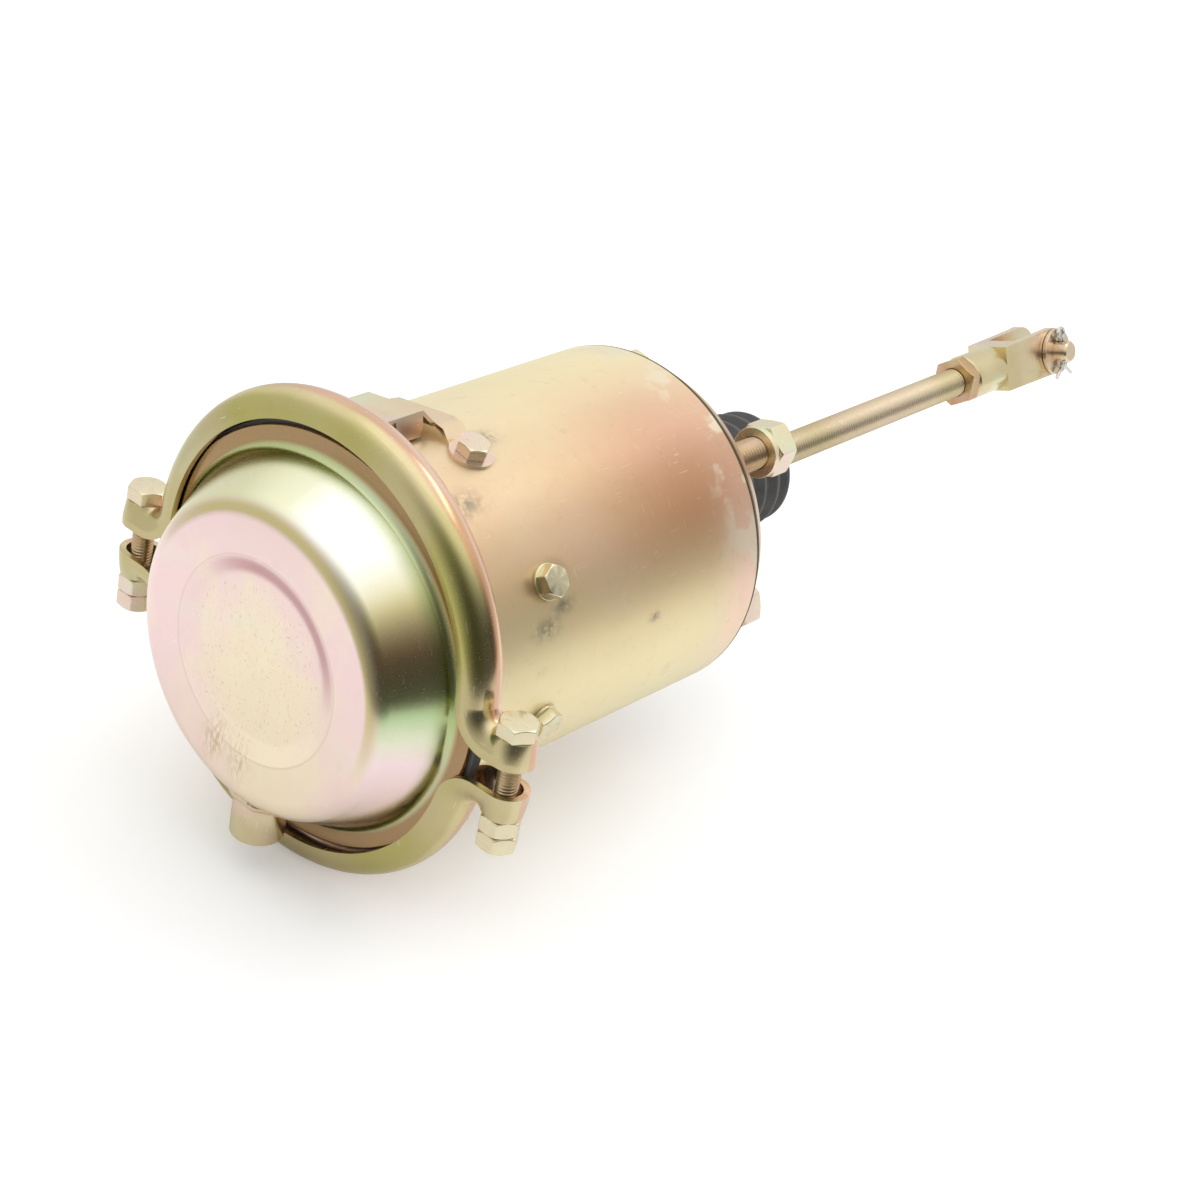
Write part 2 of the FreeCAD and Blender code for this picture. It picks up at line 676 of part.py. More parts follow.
def housing():
    """Long drawn housing with its clamp flange, bevelled rear edge and flat rear face."""
    body = new_body("housing")
    sketch = new_sketch(body, "HousingSketch", "XZ_Plane")
    radius, wall, bend = S.housing_radius, S.housing_wall, S.flange_bend
    inner = radius - wall
    bevel = S.rear_bevel_length
    outline = Outline(sketch, HOUSING_FLANGE_FRONT, inner)
    outline.line(HOUSING_FLANGE_FRONT, FLANGE_RADIUS)
    outline.line(HOUSING_FLANGE_BACK, FLANGE_RADIUS)
    outline.line(HOUSING_FLANGE_BACK, radius + bend)
    outline.arc(HOUSING_FLANGE_BACK + bend, radius + bend, HOUSING_FLANGE_BACK + bend, radius)
    outline.line(-bevel, radius)
    outline.line(0, REAR_FACE_RADIUS)
    outline.line(0, S.spigot_radius)
    outline.line(-S.rear_wall, S.spigot_radius)
    outline.line(-S.rear_wall, REAR_FACE_RADIUS - wall / 2)
    outline.line(-bevel, inner)
    revolve(body, "Shell", outline.close())
    turn_up = S.screw_turn
    # a flat dimple for each screw washer, and the screw's hole
    dimple = new_sketch(body, "DimpleSketch", "XY_Plane", x=SCREW_X, lift=WASHER_SEAT)
    dimple_cut = pocket(body, "Dimple", circle(dimple, S.dimple_radius), 2, back=True)
    hole = new_sketch(body, "ScrewHoleSketch", "XY_Plane", x=SCREW_X, lift=radius + 1)
    hole_cut = pocket(body, "ScrewHole", circle(hole, S.screw_hole_radius), wall * 2 + 1)
    polar(body, "ScrewHoles", [dimple_cut, hole_cut], S.screw_count)
    # vent holes under the hood, in the housing's own frame, which is turned to the first screw
    tilt = -(S.screw_turn + S.hood_turn)
    vent = new_sketch(body, "VentSketch", "XY_Plane", x=SCREW_X - S.hood_tab_ahead + S.hood_tab_length / 2,
                      tilt=tilt)
    for along in (-S.vent_hole_spread, S.vent_hole_spread):
        circle(vent, S.vent_hole_radius, x=along)
    pocket(body, "Vents", vent, radius + 1, back=True)
    # stud holes, turned to where the studs stand
    angle = S.stud_turn - turn_up
    place_y = -STUD_CIRCLE * sine(angle)
    place_z = STUD_CIRCLE * cosine(angle)
    stud = new_sketch(body, "StudHoleSketch", "YZ_Plane", x=place_y, y=place_z, lift=1)
    stud_cut = pocket(body, "StudHole", circle(stud, STUD_SHOULDER), S.rear_wall + 2)
    polar(body, "StudHoles", [stud_cut], S.stud_count)
    turn_body(body, turn_up)
    return body


def spring_carrier():
    """Dished ring inside the housing, held by the radial screws, that the return spring seats on."""
    body = new_body("spring_carrier")
    sketch = new_sketch(body, "CarrierSketch", "XZ_Plane")
    front = SCREW_X - S.carrier_rim_ahead
    back = SCREW_X + S.carrier_rim_behind
    seat, wall = CARRIER_SEAT, S.carrier_wall
    outline = Outline(sketch, front, HOUSING_BORE)
    outline.line(back, HOUSING_BORE)
    outline.line(seat, CARRIER_SEAT_RADIUS + wall)
    outline.line(seat, S.carrier_hole_radius)
    outline.line(seat - wall, S.carrier_hole_radius)
    outline.line(seat - wall, CARRIER_SEAT_RADIUS)
    outline.line(back - wall, CARRIER_BORE)
    outline.line(front, CARRIER_BORE)
    revolve(body, "Dish", outline.close())
    hole = new_sketch(body, "ScrewHoleSketch", "XY_Plane", x=SCREW_X, lift=HOUSING_BORE + 1)
    hole_cut = pocket(body, "ScrewHole", circle(hole, S.screw_hole_radius), S.carrier_wall * 2 + 1)
    polar(body, "ScrewHoles", [hole_cut], S.screw_count)
    turn_body(body, S.screw_turn)
    return body


def carrier_nuts():
    """Weld nuts inside the spring carrier's rim, one for each radial screw."""
    body = new_body("carrier_nuts")
    base = root(CARRIER_BORE * CARRIER_BORE - S.screw_flats * S.screw_flats / 3)
    nut = new_sketch(body, "NutSketch", "XY_Plane", x=SCREW_X, lift=base)
    nut_pad = pad(body, "Nut", hexagon(nut, S.screw_flats), S.carrier_nut_height, back=True)
    hole = new_sketch(body, "BoreSketch", "XY_Plane", x=SCREW_X, lift=base + 1)
    hole_cut = pocket(body, "Bore", circle(hole, S.screw_radius), S.carrier_nut_height + 2)
    polar(body, "Nuts", [nut_pad, hole_cut], S.screw_count)
    turn_body(body, S.screw_turn)
    return body


def radial_screws():
    """Hexagon screws through the housing into the spring carrier's nuts."""
    body = new_body("radial_screws")
    head = new_sketch(body, "HeadSketch", "XY_Plane", x=SCREW_X, lift=HEAD_SEAT)
    head_pad = pad(body, "Head", hexagon(head, S.screw_flats), S.screw_head)
    top = HEAD_SEAT + S.screw_head
    trims = trim_corners(body, S.screw_flats, [(top, -1)], x=SCREW_X)
    shank = new_sketch(body, "ShankSketch", "XY_Plane", x=SCREW_X, lift=HEAD_SEAT)
    shank_pad = pad(body, "Shank", circle(shank, S.screw_radius), S.screw_length, back=True)
    polar(body, "Screws", [head_pad, *trims, shank_pad], S.screw_count)
    turn_body(body, S.screw_turn)
    return body


def radial_washers():
    """Flat washers under the radial screws, all but the two that hold the vent hood's eyes."""
    body = new_body("radial_washers")
    disc = new_sketch(body, "WasherSketch", "XY_Plane", x=SCREW_X, lift=WASHER_SEAT)
    circle(disc, S.washer_radius)
    circle(disc, S.screw_hole_radius)
    disc_pad = pad(body, "Washer", disc, S.washer_thickness)
    count = S.screw_count - 2
    polar(body, "Washers", [disc_pad], count, SCREW_PITCH * (S.screw_count - 3))
    turn_body(body, S.screw_turn + SCREW_PITCH)
    return body


def vent_hood():
    """Sheet hood over the vent holes, with a strap eye under a radial screw at each end.

    It is drawn with its own middle over the top, then turned about the rod's axis.
    """
    body = new_body("vent_hood")
    sheet_metal = S.washer_thickness
    half_pitch = SCREW_PITCH / 2
    eye_y = WASHER_SEAT * sine(half_pitch)
    eye_z = WASHER_SEAT * cosine(half_pitch)
    reach = S.hood_eye_radius - sheet_metal
    foot_y = eye_y - reach * cosine(half_pitch)
    foot_z = eye_z + reach * sine(half_pitch)
    half = foot_y - S.hood_side_gap
    front = SCREW_X - S.hood_front_ahead
    roof_end = SCREW_X - S.hood_roof_ahead
    strap_front = SCREW_X - S.hood_strap_half_width
    strap_back = SCREW_X + S.hood_strap_half_width
    roof, strap = S.housing_radius + S.hood_roof_rise, S.housing_radius + S.hood_strap_rise
    side = new_sketch(body, "SideSketch", "XZ_Plane", lift=-half)
    outline = Outline(side, front, roof - S.hood_skirt)
    outline.line(front, roof)
    outline.line(roof_end, roof)
    outline.line(strap_front, strap)
    outline.line(strap_back, strap)
    outline.line(strap_back, strap - sheet_metal)
    outline.line(strap_front - sheet_metal / 2, strap - sheet_metal)
    outline.line(roof_end - sheet_metal / 2, roof - sheet_metal)
    outline.line(front + sheet_metal, roof - sheet_metal)
    outline.line(front + sheet_metal, roof - S.hood_skirt)
    pad(body, "Roof", outline.close(), half * 2)
    # side tabs folded down from the roof
    for name, edge in (("NearTab", -half), ("FarTab", half - sheet_metal)):
        tab = new_sketch(body, name + "Sketch", "XY_Plane", lift=roof - sheet_metal / 2)
        start = SCREW_X - S.hood_tab_ahead
        outline = Outline(tab, start, edge)
        outline.line(start + S.hood_tab_length, edge)
        outline.line(start + S.hood_tab_length, edge + sheet_metal)
        outline.line(start, edge + sheet_metal)
        pad(body, name, outline.close(), S.hood_tab, back=True)
    # strap that comes down on each side to an eye under a screw head
    shoulder, shoulder_z = foot_y - S.hood_shoulder_gap, S.housing_radius + S.hood_shoulder_rise
    for name, sign in (("NearStrap", -1), ("FarStrap", 1)):
        strap_sketch = new_sketch(body, name + "Sketch", "YZ_Plane", lift=strap_front)
        outline = Outline(strap_sketch, sign * (half - 1), strap - sheet_metal)
        outline.line(sign * (half - 1), strap)
        outline.line(sign * half, strap)
        outline.line(sign * shoulder, shoulder_z)
        outline.line(sign * (foot_y + sheet_metal), foot_z)
        outline.line(sign * foot_y, foot_z)
        outline.line(sign * (shoulder - sheet_metal), shoulder_z - sheet_metal)
        outline.line(sign * half, strap - sheet_metal)
        pad(body, name, outline.close(), S.hood_strap_half_width * 2)
        tilt = -sign * half_pitch
        eye = new_sketch(body, name + "EyeSketch", "XY_Plane", x=SCREW_X,
                         y=sign * eye_y, lift=eye_z, tilt=tilt)
        circle(eye, S.hood_eye_radius)
        pad(body, name + "Eye", eye, sheet_metal)
        hole = new_sketch(body, name + "HoleSketch", "XY_Plane", x=SCREW_X,
                          y=sign * eye_y, lift=eye_z, tilt=tilt)
        circle(hole, S.screw_hole_radius)
        pocket(body, name + "Hole", hole, sheet_metal * 2, back=True)
    turn_body(body, S.hood_turn, (-1, 0, 0))
    return body


def stud_plate():
    """Thick ring inside the rear wall that backs the mounting studs."""
    body = new_body("stud_plate")
    sketch = new_sketch(body, "PlateSketch", "YZ_Plane", lift=-S.rear_wall)
    circle(sketch, STUD_PLATE_RADIUS)
    circle(sketch, S.spigot_radius)
    pad(body, "Plate", sketch, S.stud_plate_thickness, back=True)
    hole = new_sketch(body, "StudHoleSketch", "YZ_Plane", y=STUD_CIRCLE, lift=0)
    hole_cut = pocket(body, "StudHole", circle(hole, STUD_SHOULDER), S.stud_plate_thickness + S.rear_wall + 1)
    polar(body, "StudHoles", [hole_cut], S.stud_count)
    turn_body(body, S.stud_turn)
    return body


def mounting_studs():
    """Four studs through the rear wall, each with a flat hexagon head behind the stud plate.

    A press-fit shoulder holds the stud in the wall. The thread ahead of the nut stands a little lower
    than the grip that the bracket goes over.
    """
    body = new_body("mounting_studs")
    back = -S.rear_wall - S.stud_plate_thickness
    grip = S.nut_standoff - S.spring_washer_thickness
    head = new_sketch(body, "HeadSketch", "YZ_Plane", y=STUD_CIRCLE, lift=back)
    head_pad = pad(body, "Head", hexagon(head, S.stud_head_flats), S.stud_head, back=True)
    shank = new_sketch(body, "ShankSketch", "XZ_Plane", y=STUD_CIRCLE)
    outline = Outline(shank, back, 0)
    outline.line(back, STUD_SHOULDER)
    outline.line(0, STUD_SHOULDER)
    outline.line(0, S.stud_radius)
    outline.line(grip, S.stud_radius)
    outline.line(grip, STUD_THREAD)
    outline.line(S.stud_reach - S.edge_break, STUD_THREAD)
    outline.line(S.stud_reach, STUD_THREAD - S.edge_break)
    outline.line(S.stud_reach, 0)
    shank_turn = revolve(body, "Shank", outline.close(), "H_Axis")
    polar(body, "Studs", [head_pad, shank_turn], S.stud_count)
    turn_body(body, S.stud_turn)
    return body


def mounting_nuts():
    """Four nuts on the studs, backed off as delivered so that a bracket can go on."""
    body = new_body("mounting_nuts")
    nut = new_sketch(body, "NutSketch", "YZ_Plane", y=STUD_CIRCLE, lift=S.nut_standoff)
    features = [pad(body, "Nut", hexagon(nut, S.nut_flats), S.nut_height)]
    ends = [(S.nut_standoff, 1), (S.nut_standoff + S.nut_height, -1)]
    features += trim_corners(body, S.nut_flats, ends, lying=True, y=STUD_CIRCLE)
    hole = new_sketch(body, "BoreSketch", "YZ_Plane", y=STUD_CIRCLE, lift=S.nut_standoff - 1)
    features.append(pocket(body, "Bore", circle(hole, STUD_THREAD), S.nut_height + 2, back=True))
    polar(body, "Nuts", features, S.stud_count)
    turn_body(body, S.stud_turn)
    return body


def mounting_washers():
    """Spring washers against the mounting nuts."""
    body = new_body("mounting_washers")
    ring = new_sketch(body, "WasherSketch", "YZ_Plane", y=STUD_CIRCLE, lift=S.nut_standoff)
    circle(ring, S.spring_washer_radius)
    circle(ring, STUD_THREAD)
    ring_pad = pad(body, "Washer", ring, S.spring_washer_thickness, back=True)
    polar(body, "Washers", [ring_pad], S.stud_count)
    turn_body(body, S.stud_turn)
    return body


def rod_spigot():
    """Turned spigot through the rear wall that holds the rod's bush and the boot."""
    body = new_body("rod_spigot")
    inner = S.rod_radius + S.bush_wall
    back = -S.rear_wall - S.stud_plate_thickness
    reach, groove = S.spigot_reach, S.spigot_groove
    sketch = new_sketch(body, "SpigotSketch", "XZ_Plane")
    outline = Outline(sketch, back - S.spigot_flange, inner)
    outline.line(back - S.spigot_flange, S.spigot_flange_radius)
    outline.line(back, S.spigot_flange_radius)
    outline.line(back, S.spigot_radius)
    outline.line(reach - groove * 3, S.spigot_radius)
    outline.line(reach - groove * 3, S.spigot_radius - groove)
    outline.line(reach - groove, S.spigot_radius - groove)
    outline.line(reach - groove, S.spigot_radius)
    outline.line(reach, S.spigot_radius)
    outline.line(reach, inner)
    revolve(body, "Spigot", outline.close())
    return body


def rod_bush():
    """Plain bush pressed into the spigot, in which the push rod slides."""
    body = new_body("rod_bush")
    inner = S.rod_radius + S.running_gap
    outer = S.rod_radius + S.bush_wall
    back = -S.rear_wall - S.stud_plate_thickness - S.spigot_flange
    sketch = new_sketch(body, "BushSketch", "XZ_Plane")
    outline = Outline(sketch, back - S.bush_flange, inner)
    outline.line(back - S.bush_flange, outer + S.bush_flange)
    outline.line(back, outer + S.bush_flange)
    outline.line(back, outer)
    outline.line(S.spigot_reach, outer)
    outline.line(S.spigot_reach, inner)
    revolve(body, "Bush", outline.close())
    return body


def boot_folds():
    """Places along X of the boot's crests and roots, from the spigot outwards."""
    start = S.spigot_reach + S.boot_lead
    count = int(S.boot_fold_count.value)
    pitch = S.boot_pitch
    return [(start + k * pitch + pitch / 2, start + (k + 1) * pitch) for k in range(count)]


def boot():
    """Rubber bellows over the push rod, held in the spigot's groove and closed on the rod by its neck."""
    body = new_body("boot")
    groove, reach = S.spigot_groove, S.spigot_reach
    wall, gap = S.boot_wall, S.touch_gap
    crest, low = S.boot_crest_radius, S.boot_root_radius
    collar = S.spigot_radius + wall
    # the wall's depth measured towards the rod, on the slope of a fold
    slope = (crest - low) / (S.boot_pitch / 2)
    depth = wall * root(slope * slope + 1)
    folds = boot_folds()
    sketch = new_sketch(body, "BootSketch", "XZ_Plane")
    outline = Outline(sketch, reach - groove * 3, S.spigot_radius)
    outline.line(reach - groove * 3, collar)
    outline.line(reach, collar)
    for crest_x, root_x in folds[:-1]:
        outline.line(crest_x, crest)
        outline.line(root_x, low)
    last = folds[-1][0]
    outline.line(last, crest)
    outline.line(BOOT_END - wall, S.boot_neck_radius + wall * 2)
    outline.line(BOOT_END, S.boot_neck_radius)
    outline.line(BOOT_END, S.rod_radius + S.running_gap)
    outline.line(BOOT_END - wall * 2, S.rod_radius + S.running_gap)
    outline.line(last, crest - depth)
    for crest_x, root_x in reversed(folds[:-1]):
        outline.line(root_x, low - depth)
        outline.line(crest_x, crest - depth)
    outline.line(reach + gap, S.spigot_radius)
    outline.line(reach - groove, S.spigot_radius)
    outline.line(reach - groove, S.spigot_radius - groove)
    outline.line(reach - groove * 3, S.spigot_radius - groove)
    revolve(body, "Bellows", outline.close())
    return body


def boot_clip():
    """Wire ring that holds the boot's collar in the spigot's groove."""
    body = new_body("boot_clip")
    sketch = new_sketch(body, "WireSketch", "XZ_Plane")
    height = S.spigot_radius + S.boot_wall + S.boot_clip_wire
    circle(sketch, S.boot_clip_wire, x=S.spigot_reach - S.spigot_groove * 2, y=height)
    revolve(body, "Wire", sketch)
    return body


def push_plate():
    """Pressed plate that the diaphragm pushes and the return spring bears on."""
    body = new_body("push_plate")
    front = PLATE_BACK - S.push_plate_thickness
    sketch = new_sketch(body, "PlateSketch", "XZ_Plane")
    outline = Outline(sketch, front, 0)
    outline.line(front, PUSH_PLATE_RADIUS - S.edge_break)
    outline.line(front + S.edge_break, PUSH_PLATE_RADIUS)
    outline.line(PLATE_BACK + S.push_plate_lip, PUSH_PLATE_RADIUS)
    outline.line(PLATE_BACK + S.push_plate_lip, PUSH_PLATE_RADIUS - S.push_plate_thickness)
    outline.line(PLATE_BACK, PUSH_PLATE_RADIUS - S.push_plate_thickness)
    outline.line(PLATE_BACK, 0)
    revolve(body, "Plate", outline.close())
    return body


def rod_plate_nut():
    """Nut welded to the push plate, into which the rod is screwed."""
    body = new_body("rod_plate_nut")
    nut = new_sketch(body, "NutSketch", "YZ_Plane", lift=PLATE_BACK)
    pad(body, "Nut", hexagon(nut, S.rod_plate_nut_flats), S.rod_plate_nut_height)
    top = PLATE_BACK + S.rod_plate_nut_height
    trim_corners(body, S.rod_plate_nut_flats, [(PLATE_BACK, 1), (top, -1)], lying=True)
    hole = new_sketch(body, "BoreSketch", "YZ_Plane", lift=PLATE_BACK - 1)
    pocket(body, "Bore", circle(hole, S.rod_radius), S.rod_plate_nut_height + 2, back=True)
    return body


def push_rod():
    """Long threaded push rod from the push plate to the clevis."""
    body = new_body("push_rod")
    sketch = new_sketch(body, "RodSketch", "XZ_Plane")
    outline = Outline(sketch, PLATE_BACK, 0)
    outline.line(PLATE_BACK, S.rod_radius)
    outline.line(S.rod_end - S.edge_break, S.rod_radius)
    outline.line(S.rod_end, S.rod_radius - S.edge_break)
    outline.line(S.rod_end, 0)
    revolve(body, "Rod", outline.close())
    return body


def return_spring():
    """Coil spring between the push plate and the spring carrier, swept along quarter-turn arcs."""
    wire, radius, turns = S.spring_wire.value, SPRING_RADIUS.value, S.spring_turns.value
    front = PLATE_BACK + S.spring_wire + S.touch_gap
    back = CARRIER_SEAT - S.carrier_wall - S.spring_wire - S.touch_gap
    length = back.value - front.value
    arcs_per_turn = 4
    quarter = 2 * math.pi / arcs_per_turn

    def on_coil(arcs):
        angle = arcs * quarter
        along = front.value + length * arcs / (turns * arcs_per_turn)
        return Vector(along, radius * math.sin(angle), radius * math.cos(angle))

    edges = [Part.Arc(on_coil(k), on_coil(k + 0.5), on_coil(k + 1)).toShape()
             for k in range(int(turns * arcs_per_turn))]
    start = edges[0].tangentAt(edges[0].FirstParameter)
    profile = Part.Wire([Part.Circle(on_coil(0), start, wire).toShape()])
    feature = doc.addObject("Part::Feature", "return_spring")
    feature.Label = "return_spring"
    feature.Shape = Part.Wire(edges).makePipeShell([profile], True, True)
    return feature


def jam_nut():
    """Thin nut that locks the clevis on the rod."""
    body = new_body("jam_nut")
    nut = new_sketch(body, "NutSketch", "YZ_Plane", lift=S.jam_nut_start)
    pad(body, "Nut", hexagon(nut, S.nut_flats), S.jam_nut_height)
    ends = [(S.jam_nut_start, 1), (S.jam_nut_start + S.jam_nut_height, -1)]
    trim_corners(body, S.nut_flats, ends, lying=True)
    hole = new_sketch(body, "BoreSketch", "YZ_Plane", lift=S.jam_nut_start - 1)
    pocket(body, "Bore", circle(hole, S.rod_radius), S.jam_nut_height + 2, back=True)
    turn_body(body, S.clevis_turn)
    return body


def clevis():
    """Forked end: a round neck, a square block and two long prongs with round eyes.

    It is drawn with the pin along Y, then turned about the rod's axis.
    """
    body = new_body("clevis")
    side = S.clevis_half_side
    end = S.clevis_pin_place + S.clevis_eye_radius
    neck = new_sketch(body, "NeckSketch", "XZ_Plane")
    outline = Outline(neck, S.clevis_start, S.rod_radius)
    outline.line(S.clevis_start, S.clevis_neck_radius - S.edge_break)
    outline.line(S.clevis_start + S.edge_break, S.clevis_neck_radius)
    outline.line(S.clevis_block_start + 1, S.clevis_neck_radius)
    outline.line(S.clevis_block_start + 1, S.rod_radius)
    revolve(body, "Neck", outline.close())
    block = new_sketch(body, "BlockSketch", "XZ_Plane", lift=-side)
    outline = Outline(block, S.clevis_block_start, -side)
    outline.line(S.clevis_pin_place, -S.clevis_eye_radius)
    outline.arc(S.clevis_pin_place, 0, S.clevis_pin_place, S.clevis_eye_radius)
    outline.line(S.clevis_block_start, side)
    pad(body, "Block", outline.close(), side * 2)
    eye = new_sketch(body, "EyeSketch", "XZ_Plane", lift=-(side + S.clevis_eye_boss))
    circle(eye, S.clevis_eye_radius, x=S.clevis_pin_place)
    pad(body, "Eyes", eye, (side + S.clevis_eye_boss) * 2)
    slot = new_sketch(body, "SlotSketch", "XZ_Plane", lift=S.clevis_slot_half_width)
    outline = Outline(slot, S.clevis_slot_start, -side * 2)
    outline.line(end + 1, -side * 2)
    outline.line(end + 1, side * 2)
    outline.line(S.clevis_slot_start, side * 2)
    pocket(body, "Slot", outline.close(), S.clevis_slot_half_width * 2)
    thread = new_sketch(body, "ThreadSketch", "YZ_Plane", lift=S.clevis_start - 1)
    pocket(body, "Thread", circle(thread, S.rod_radius), S.clevis_slot_start - S.clevis_start + 2, back=True)
    outside = side * 2
    hole = new_sketch(body, "PinHoleSketch", "XZ_Plane", x=S.clevis_pin_place, lift=-outside)
    circle(hole, S.pin_radius + S.running_gap)
    pocket(body, "PinHole", hole, outside * 2, back=True)
    turn_body(body, S.clevis_turn, (-1, 0, 0))
    return body


def eye_face():
    return S.clevis_half_side + S.clevis_eye_boss


def clevis_pin():
    """Headed pin through the clevis, with a cross hole for the cotter pin."""
    body = new_body("clevis_pin")
    head_face = eye_face() + S.touch_gap
    sketch = new_sketch(body, "PinSketch", "XY_Plane", x=S.clevis_pin_place)
    outline = Outline(sketch, 0, -S.pin_end_reach)
    outline.line(S.pin_radius - S.edge_break, -S.pin_end_reach)
    outline.line(S.pin_radius, -S.pin_end_reach + S.edge_break)
    outline.line(S.pin_radius, head_face)
    outline.line(S.pin_head_radius, head_face)
    outline.line(S.pin_head_radius, head_face + S.pin_head - S.edge_break)
    outline.line(S.pin_head_radius - S.edge_break, head_face + S.pin_head)
    outline.line(0, head_face + S.pin_head)
    revolve(body, "Pin", outline.close(), "V_Axis")
    hole = new_sketch(body, "CotterHoleSketch", "XY_Plane", x=S.clevis_pin_place, y=-cotter_place(),
                      lift=S.pin_radius + 1)
    pocket(body, "CotterHole", circle(hole, S.cotter_hole_radius), S.pin_radius * 2 + 2)
    turn_body(body, S.clevis_turn, (-1, 0, 0))
    return body


def cotter_place():
    """Distance of the cotter pin's hole from the middle of the clevis."""
    return eye_face() + S.touch_gap * 2 + S.pin_washer_thickness + S.cotter_hole_radius


def pin_washer():
    """Flat washer on the clevis pin, between the clevis eye and the cotter pin."""
    body = new_body("pin_washer")
    face = eye_face() + S.touch_gap
    disc = new_sketch(body, "WasherSketch", "XZ_Plane", lift=face)
    circle(disc, S.pin_washer_radius, x=S.clevis_pin_place)
    circle(disc, S.pin_radius, x=S.clevis_pin_place)
    pad(body, "Washer", disc, S.pin_washer_thickness)
    turn_body(body, S.clevis_turn, (-1, 0, 0))
    return body


def cotter_pin():
    """Split pin through the clevis pin: an eye on one side, two legs bent apart on the other.

    Its wire runs along a path of straight runs and arcs, so its shape is swept here.
    """
    wire = S.cotter_wire.value
    gap = wire + S.cotter_gap.value / 2
    pin, leg = S.pin_radius.value, S.cotter_leg.value
    eye = S.cotter_eye_radius.value
    place = Vector(S.clevis_pin_place.value, -cotter_place().value, 0)
    # half of the pin, in its own plane: the eye's half circle, a small arc into the straight leg that
    # goes down the hole, and the bend that opens the leg
    top = pin + wire
    neck = S.cotter_neck_radius.value
    middle = top + math.sqrt((eye + neck) ** 2 - (gap + neck) ** 2)
    lean = math.atan2(middle - top, gap + neck)
    neck_centre = Vector(gap + neck, 0, top)
    eye_centre = Vector(0, 0, middle)
    meet = eye_centre + Vector(math.cos(lean), 0, -math.sin(lean)) * eye
    half_lean = (math.pi / 2 - lean) / 2
    crown = eye_centre + Vector(0, 0, eye)
    eye_arc = Part.Arc(crown, eye_centre + Vector(math.cos(half_lean), 0, math.sin(half_lean)) * eye, meet)
    neck_middle = neck_centre + Vector(-math.cos(lean / 2), 0, math.sin(lean / 2)) * neck
    neck_arc = Part.Arc(meet, neck_middle, Vector(gap, 0, top))
    bend = S.cotter_bend_radius.value
    spread = math.radians(S.cotter_spread.value)
    foot = Vector(gap, 0, -pin - wire)
    bend_centre = foot + Vector(bend, 0, 0)

    def on_bend(angle):
        return bend_centre + Vector(-math.cos(angle), 0, -math.sin(angle)) * bend

    away = Vector(math.sin(spread), 0, -math.cos(spread))
    edges = [
        eye_arc.toShape(),
        neck_arc.toShape(),
        Part.LineSegment(Vector(gap, 0, top), foot).toShape(),
        Part.Arc(on_bend(0), on_bend(spread / 2), on_bend(spread)).toShape(),
        Part.LineSegment(on_bend(spread), on_bend(spread) + away * (leg - pin)).toShape(),
    ]
    profile = Part.Wire([Part.Circle(crown, Vector(1, 0, 0), wire).toShape()])
    swept = Part.Wire(edges).makePipeShell([profile], True, True)
    other = swept.mirror(Vector(0, 0, 0), Vector(1, 0, 0))
    both = swept.fuse(other).removeSplitter()
    both.translate(place)
    both.rotate(Vector(0, 0, 0), Vector(-1, 0, 0), S.clevis_turn.value)
    feature = doc.addObject("Part::Feature", "cotter_pin")
    feature.Label = "cotter_pin"
    feature.Shape = both.Solids[0] if len(both.Solids) == 1 else both
    return feature


def build():
    """Makes every sub-part and returns them in the order they go together."""
    nut_gap = S.clamp_nut_height
    return [
        front_cover(),
        air_port(),
        diaphragm(),
        clamp_half("clamp_half_upper", 1, S.upper_lift, S.upper_ear_angle),
        clamp_half("clamp_half_lower", -1, S.lower_drop, S.lower_ear_angle),
        clamp_bolts(),
        clamp_nut_pair("clamp_nuts", LOWER_SEAT),
        clamp_nut_pair("clamp_lock_nuts", LOWER_SEAT - nut_gap),
        housing(),
        spring_carrier(),
        carrier_nuts(),
        radial_screws(),
        radial_washers(),
        vent_hood(),
        stud_plate(),
        mounting_studs(),
        mounting_nuts(),
        mounting_washers(),
        rod_spigot(),
        rod_bush(),
        boot(),
        boot_clip(),
        push_plate(),
        rod_plate_nut(),
        push_rod(),
        return_spring(),
        jam_nut(),
        clevis(),
        clevis_pin(),
        pin_washer(),
        cotter_pin(),
    ]


def check_cuts(part):
    """Every groove and pocket must take something away from its body."""
    before = 0.0
    for feature in part.Group:
        if not hasattr(feature, "Shape") or feature.TypeId.startswith("Sketcher"):
            continue
        volume = feature.Shape.Volume
        if feature.TypeId in ("PartDesign::Groove", "PartDesign::Pocket") and volume > before - 0.001:
            raise RuntimeError("%s in %s cuts nothing" % (feature.Name, part.Label))
        before = volume


def main():
    parts = build()
    doc.recompute()
    for item in doc.Objects:
        if "Invalid" in item.State or "Error" in item.State:
            raise RuntimeError("%s (%s) failed: %s" % (item.Name, item.Label, item.State))
    os.makedirs("parts", exist_ok=True)
    for part in parts:
        shape = part.Shape
        if shape.isNull() or not shape.isValid() or not shape.Solids:
            raise RuntimeError("%s has no valid shape" % part.Label)
        if part.TypeId == "PartDesign::Body":
            check_cuts(part)
    for part in parts:
        part.Shape.exportStep("parts/%s.step" % part.Label)
        box = part.Shape.BoundBox
        print("%-18s solids %2d  volume %9.0f  x %7.1f %7.1f  y %7.1f %7.1f  z %7.1f %7.1f" % (
            part.Label, len(part.Shape.Solids), part.Shape.Volume,
            box.XMin, box.XMax, box.YMin, box.YMax, box.ZMin, box.ZMax))


main()
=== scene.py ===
# %% [markdown]
# Air brake chamber, dressed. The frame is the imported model: it knows where every piece sits and what
# moves. This file only gives the pieces their finished shape and their finish. Everything is in metres,
# the push rod lies along X, and the clamp bolts stand along Z.

# %% Load the frame
import bpy
import bmesh
import math
import numpy as np
from mathutils import Matrix, Vector, noise


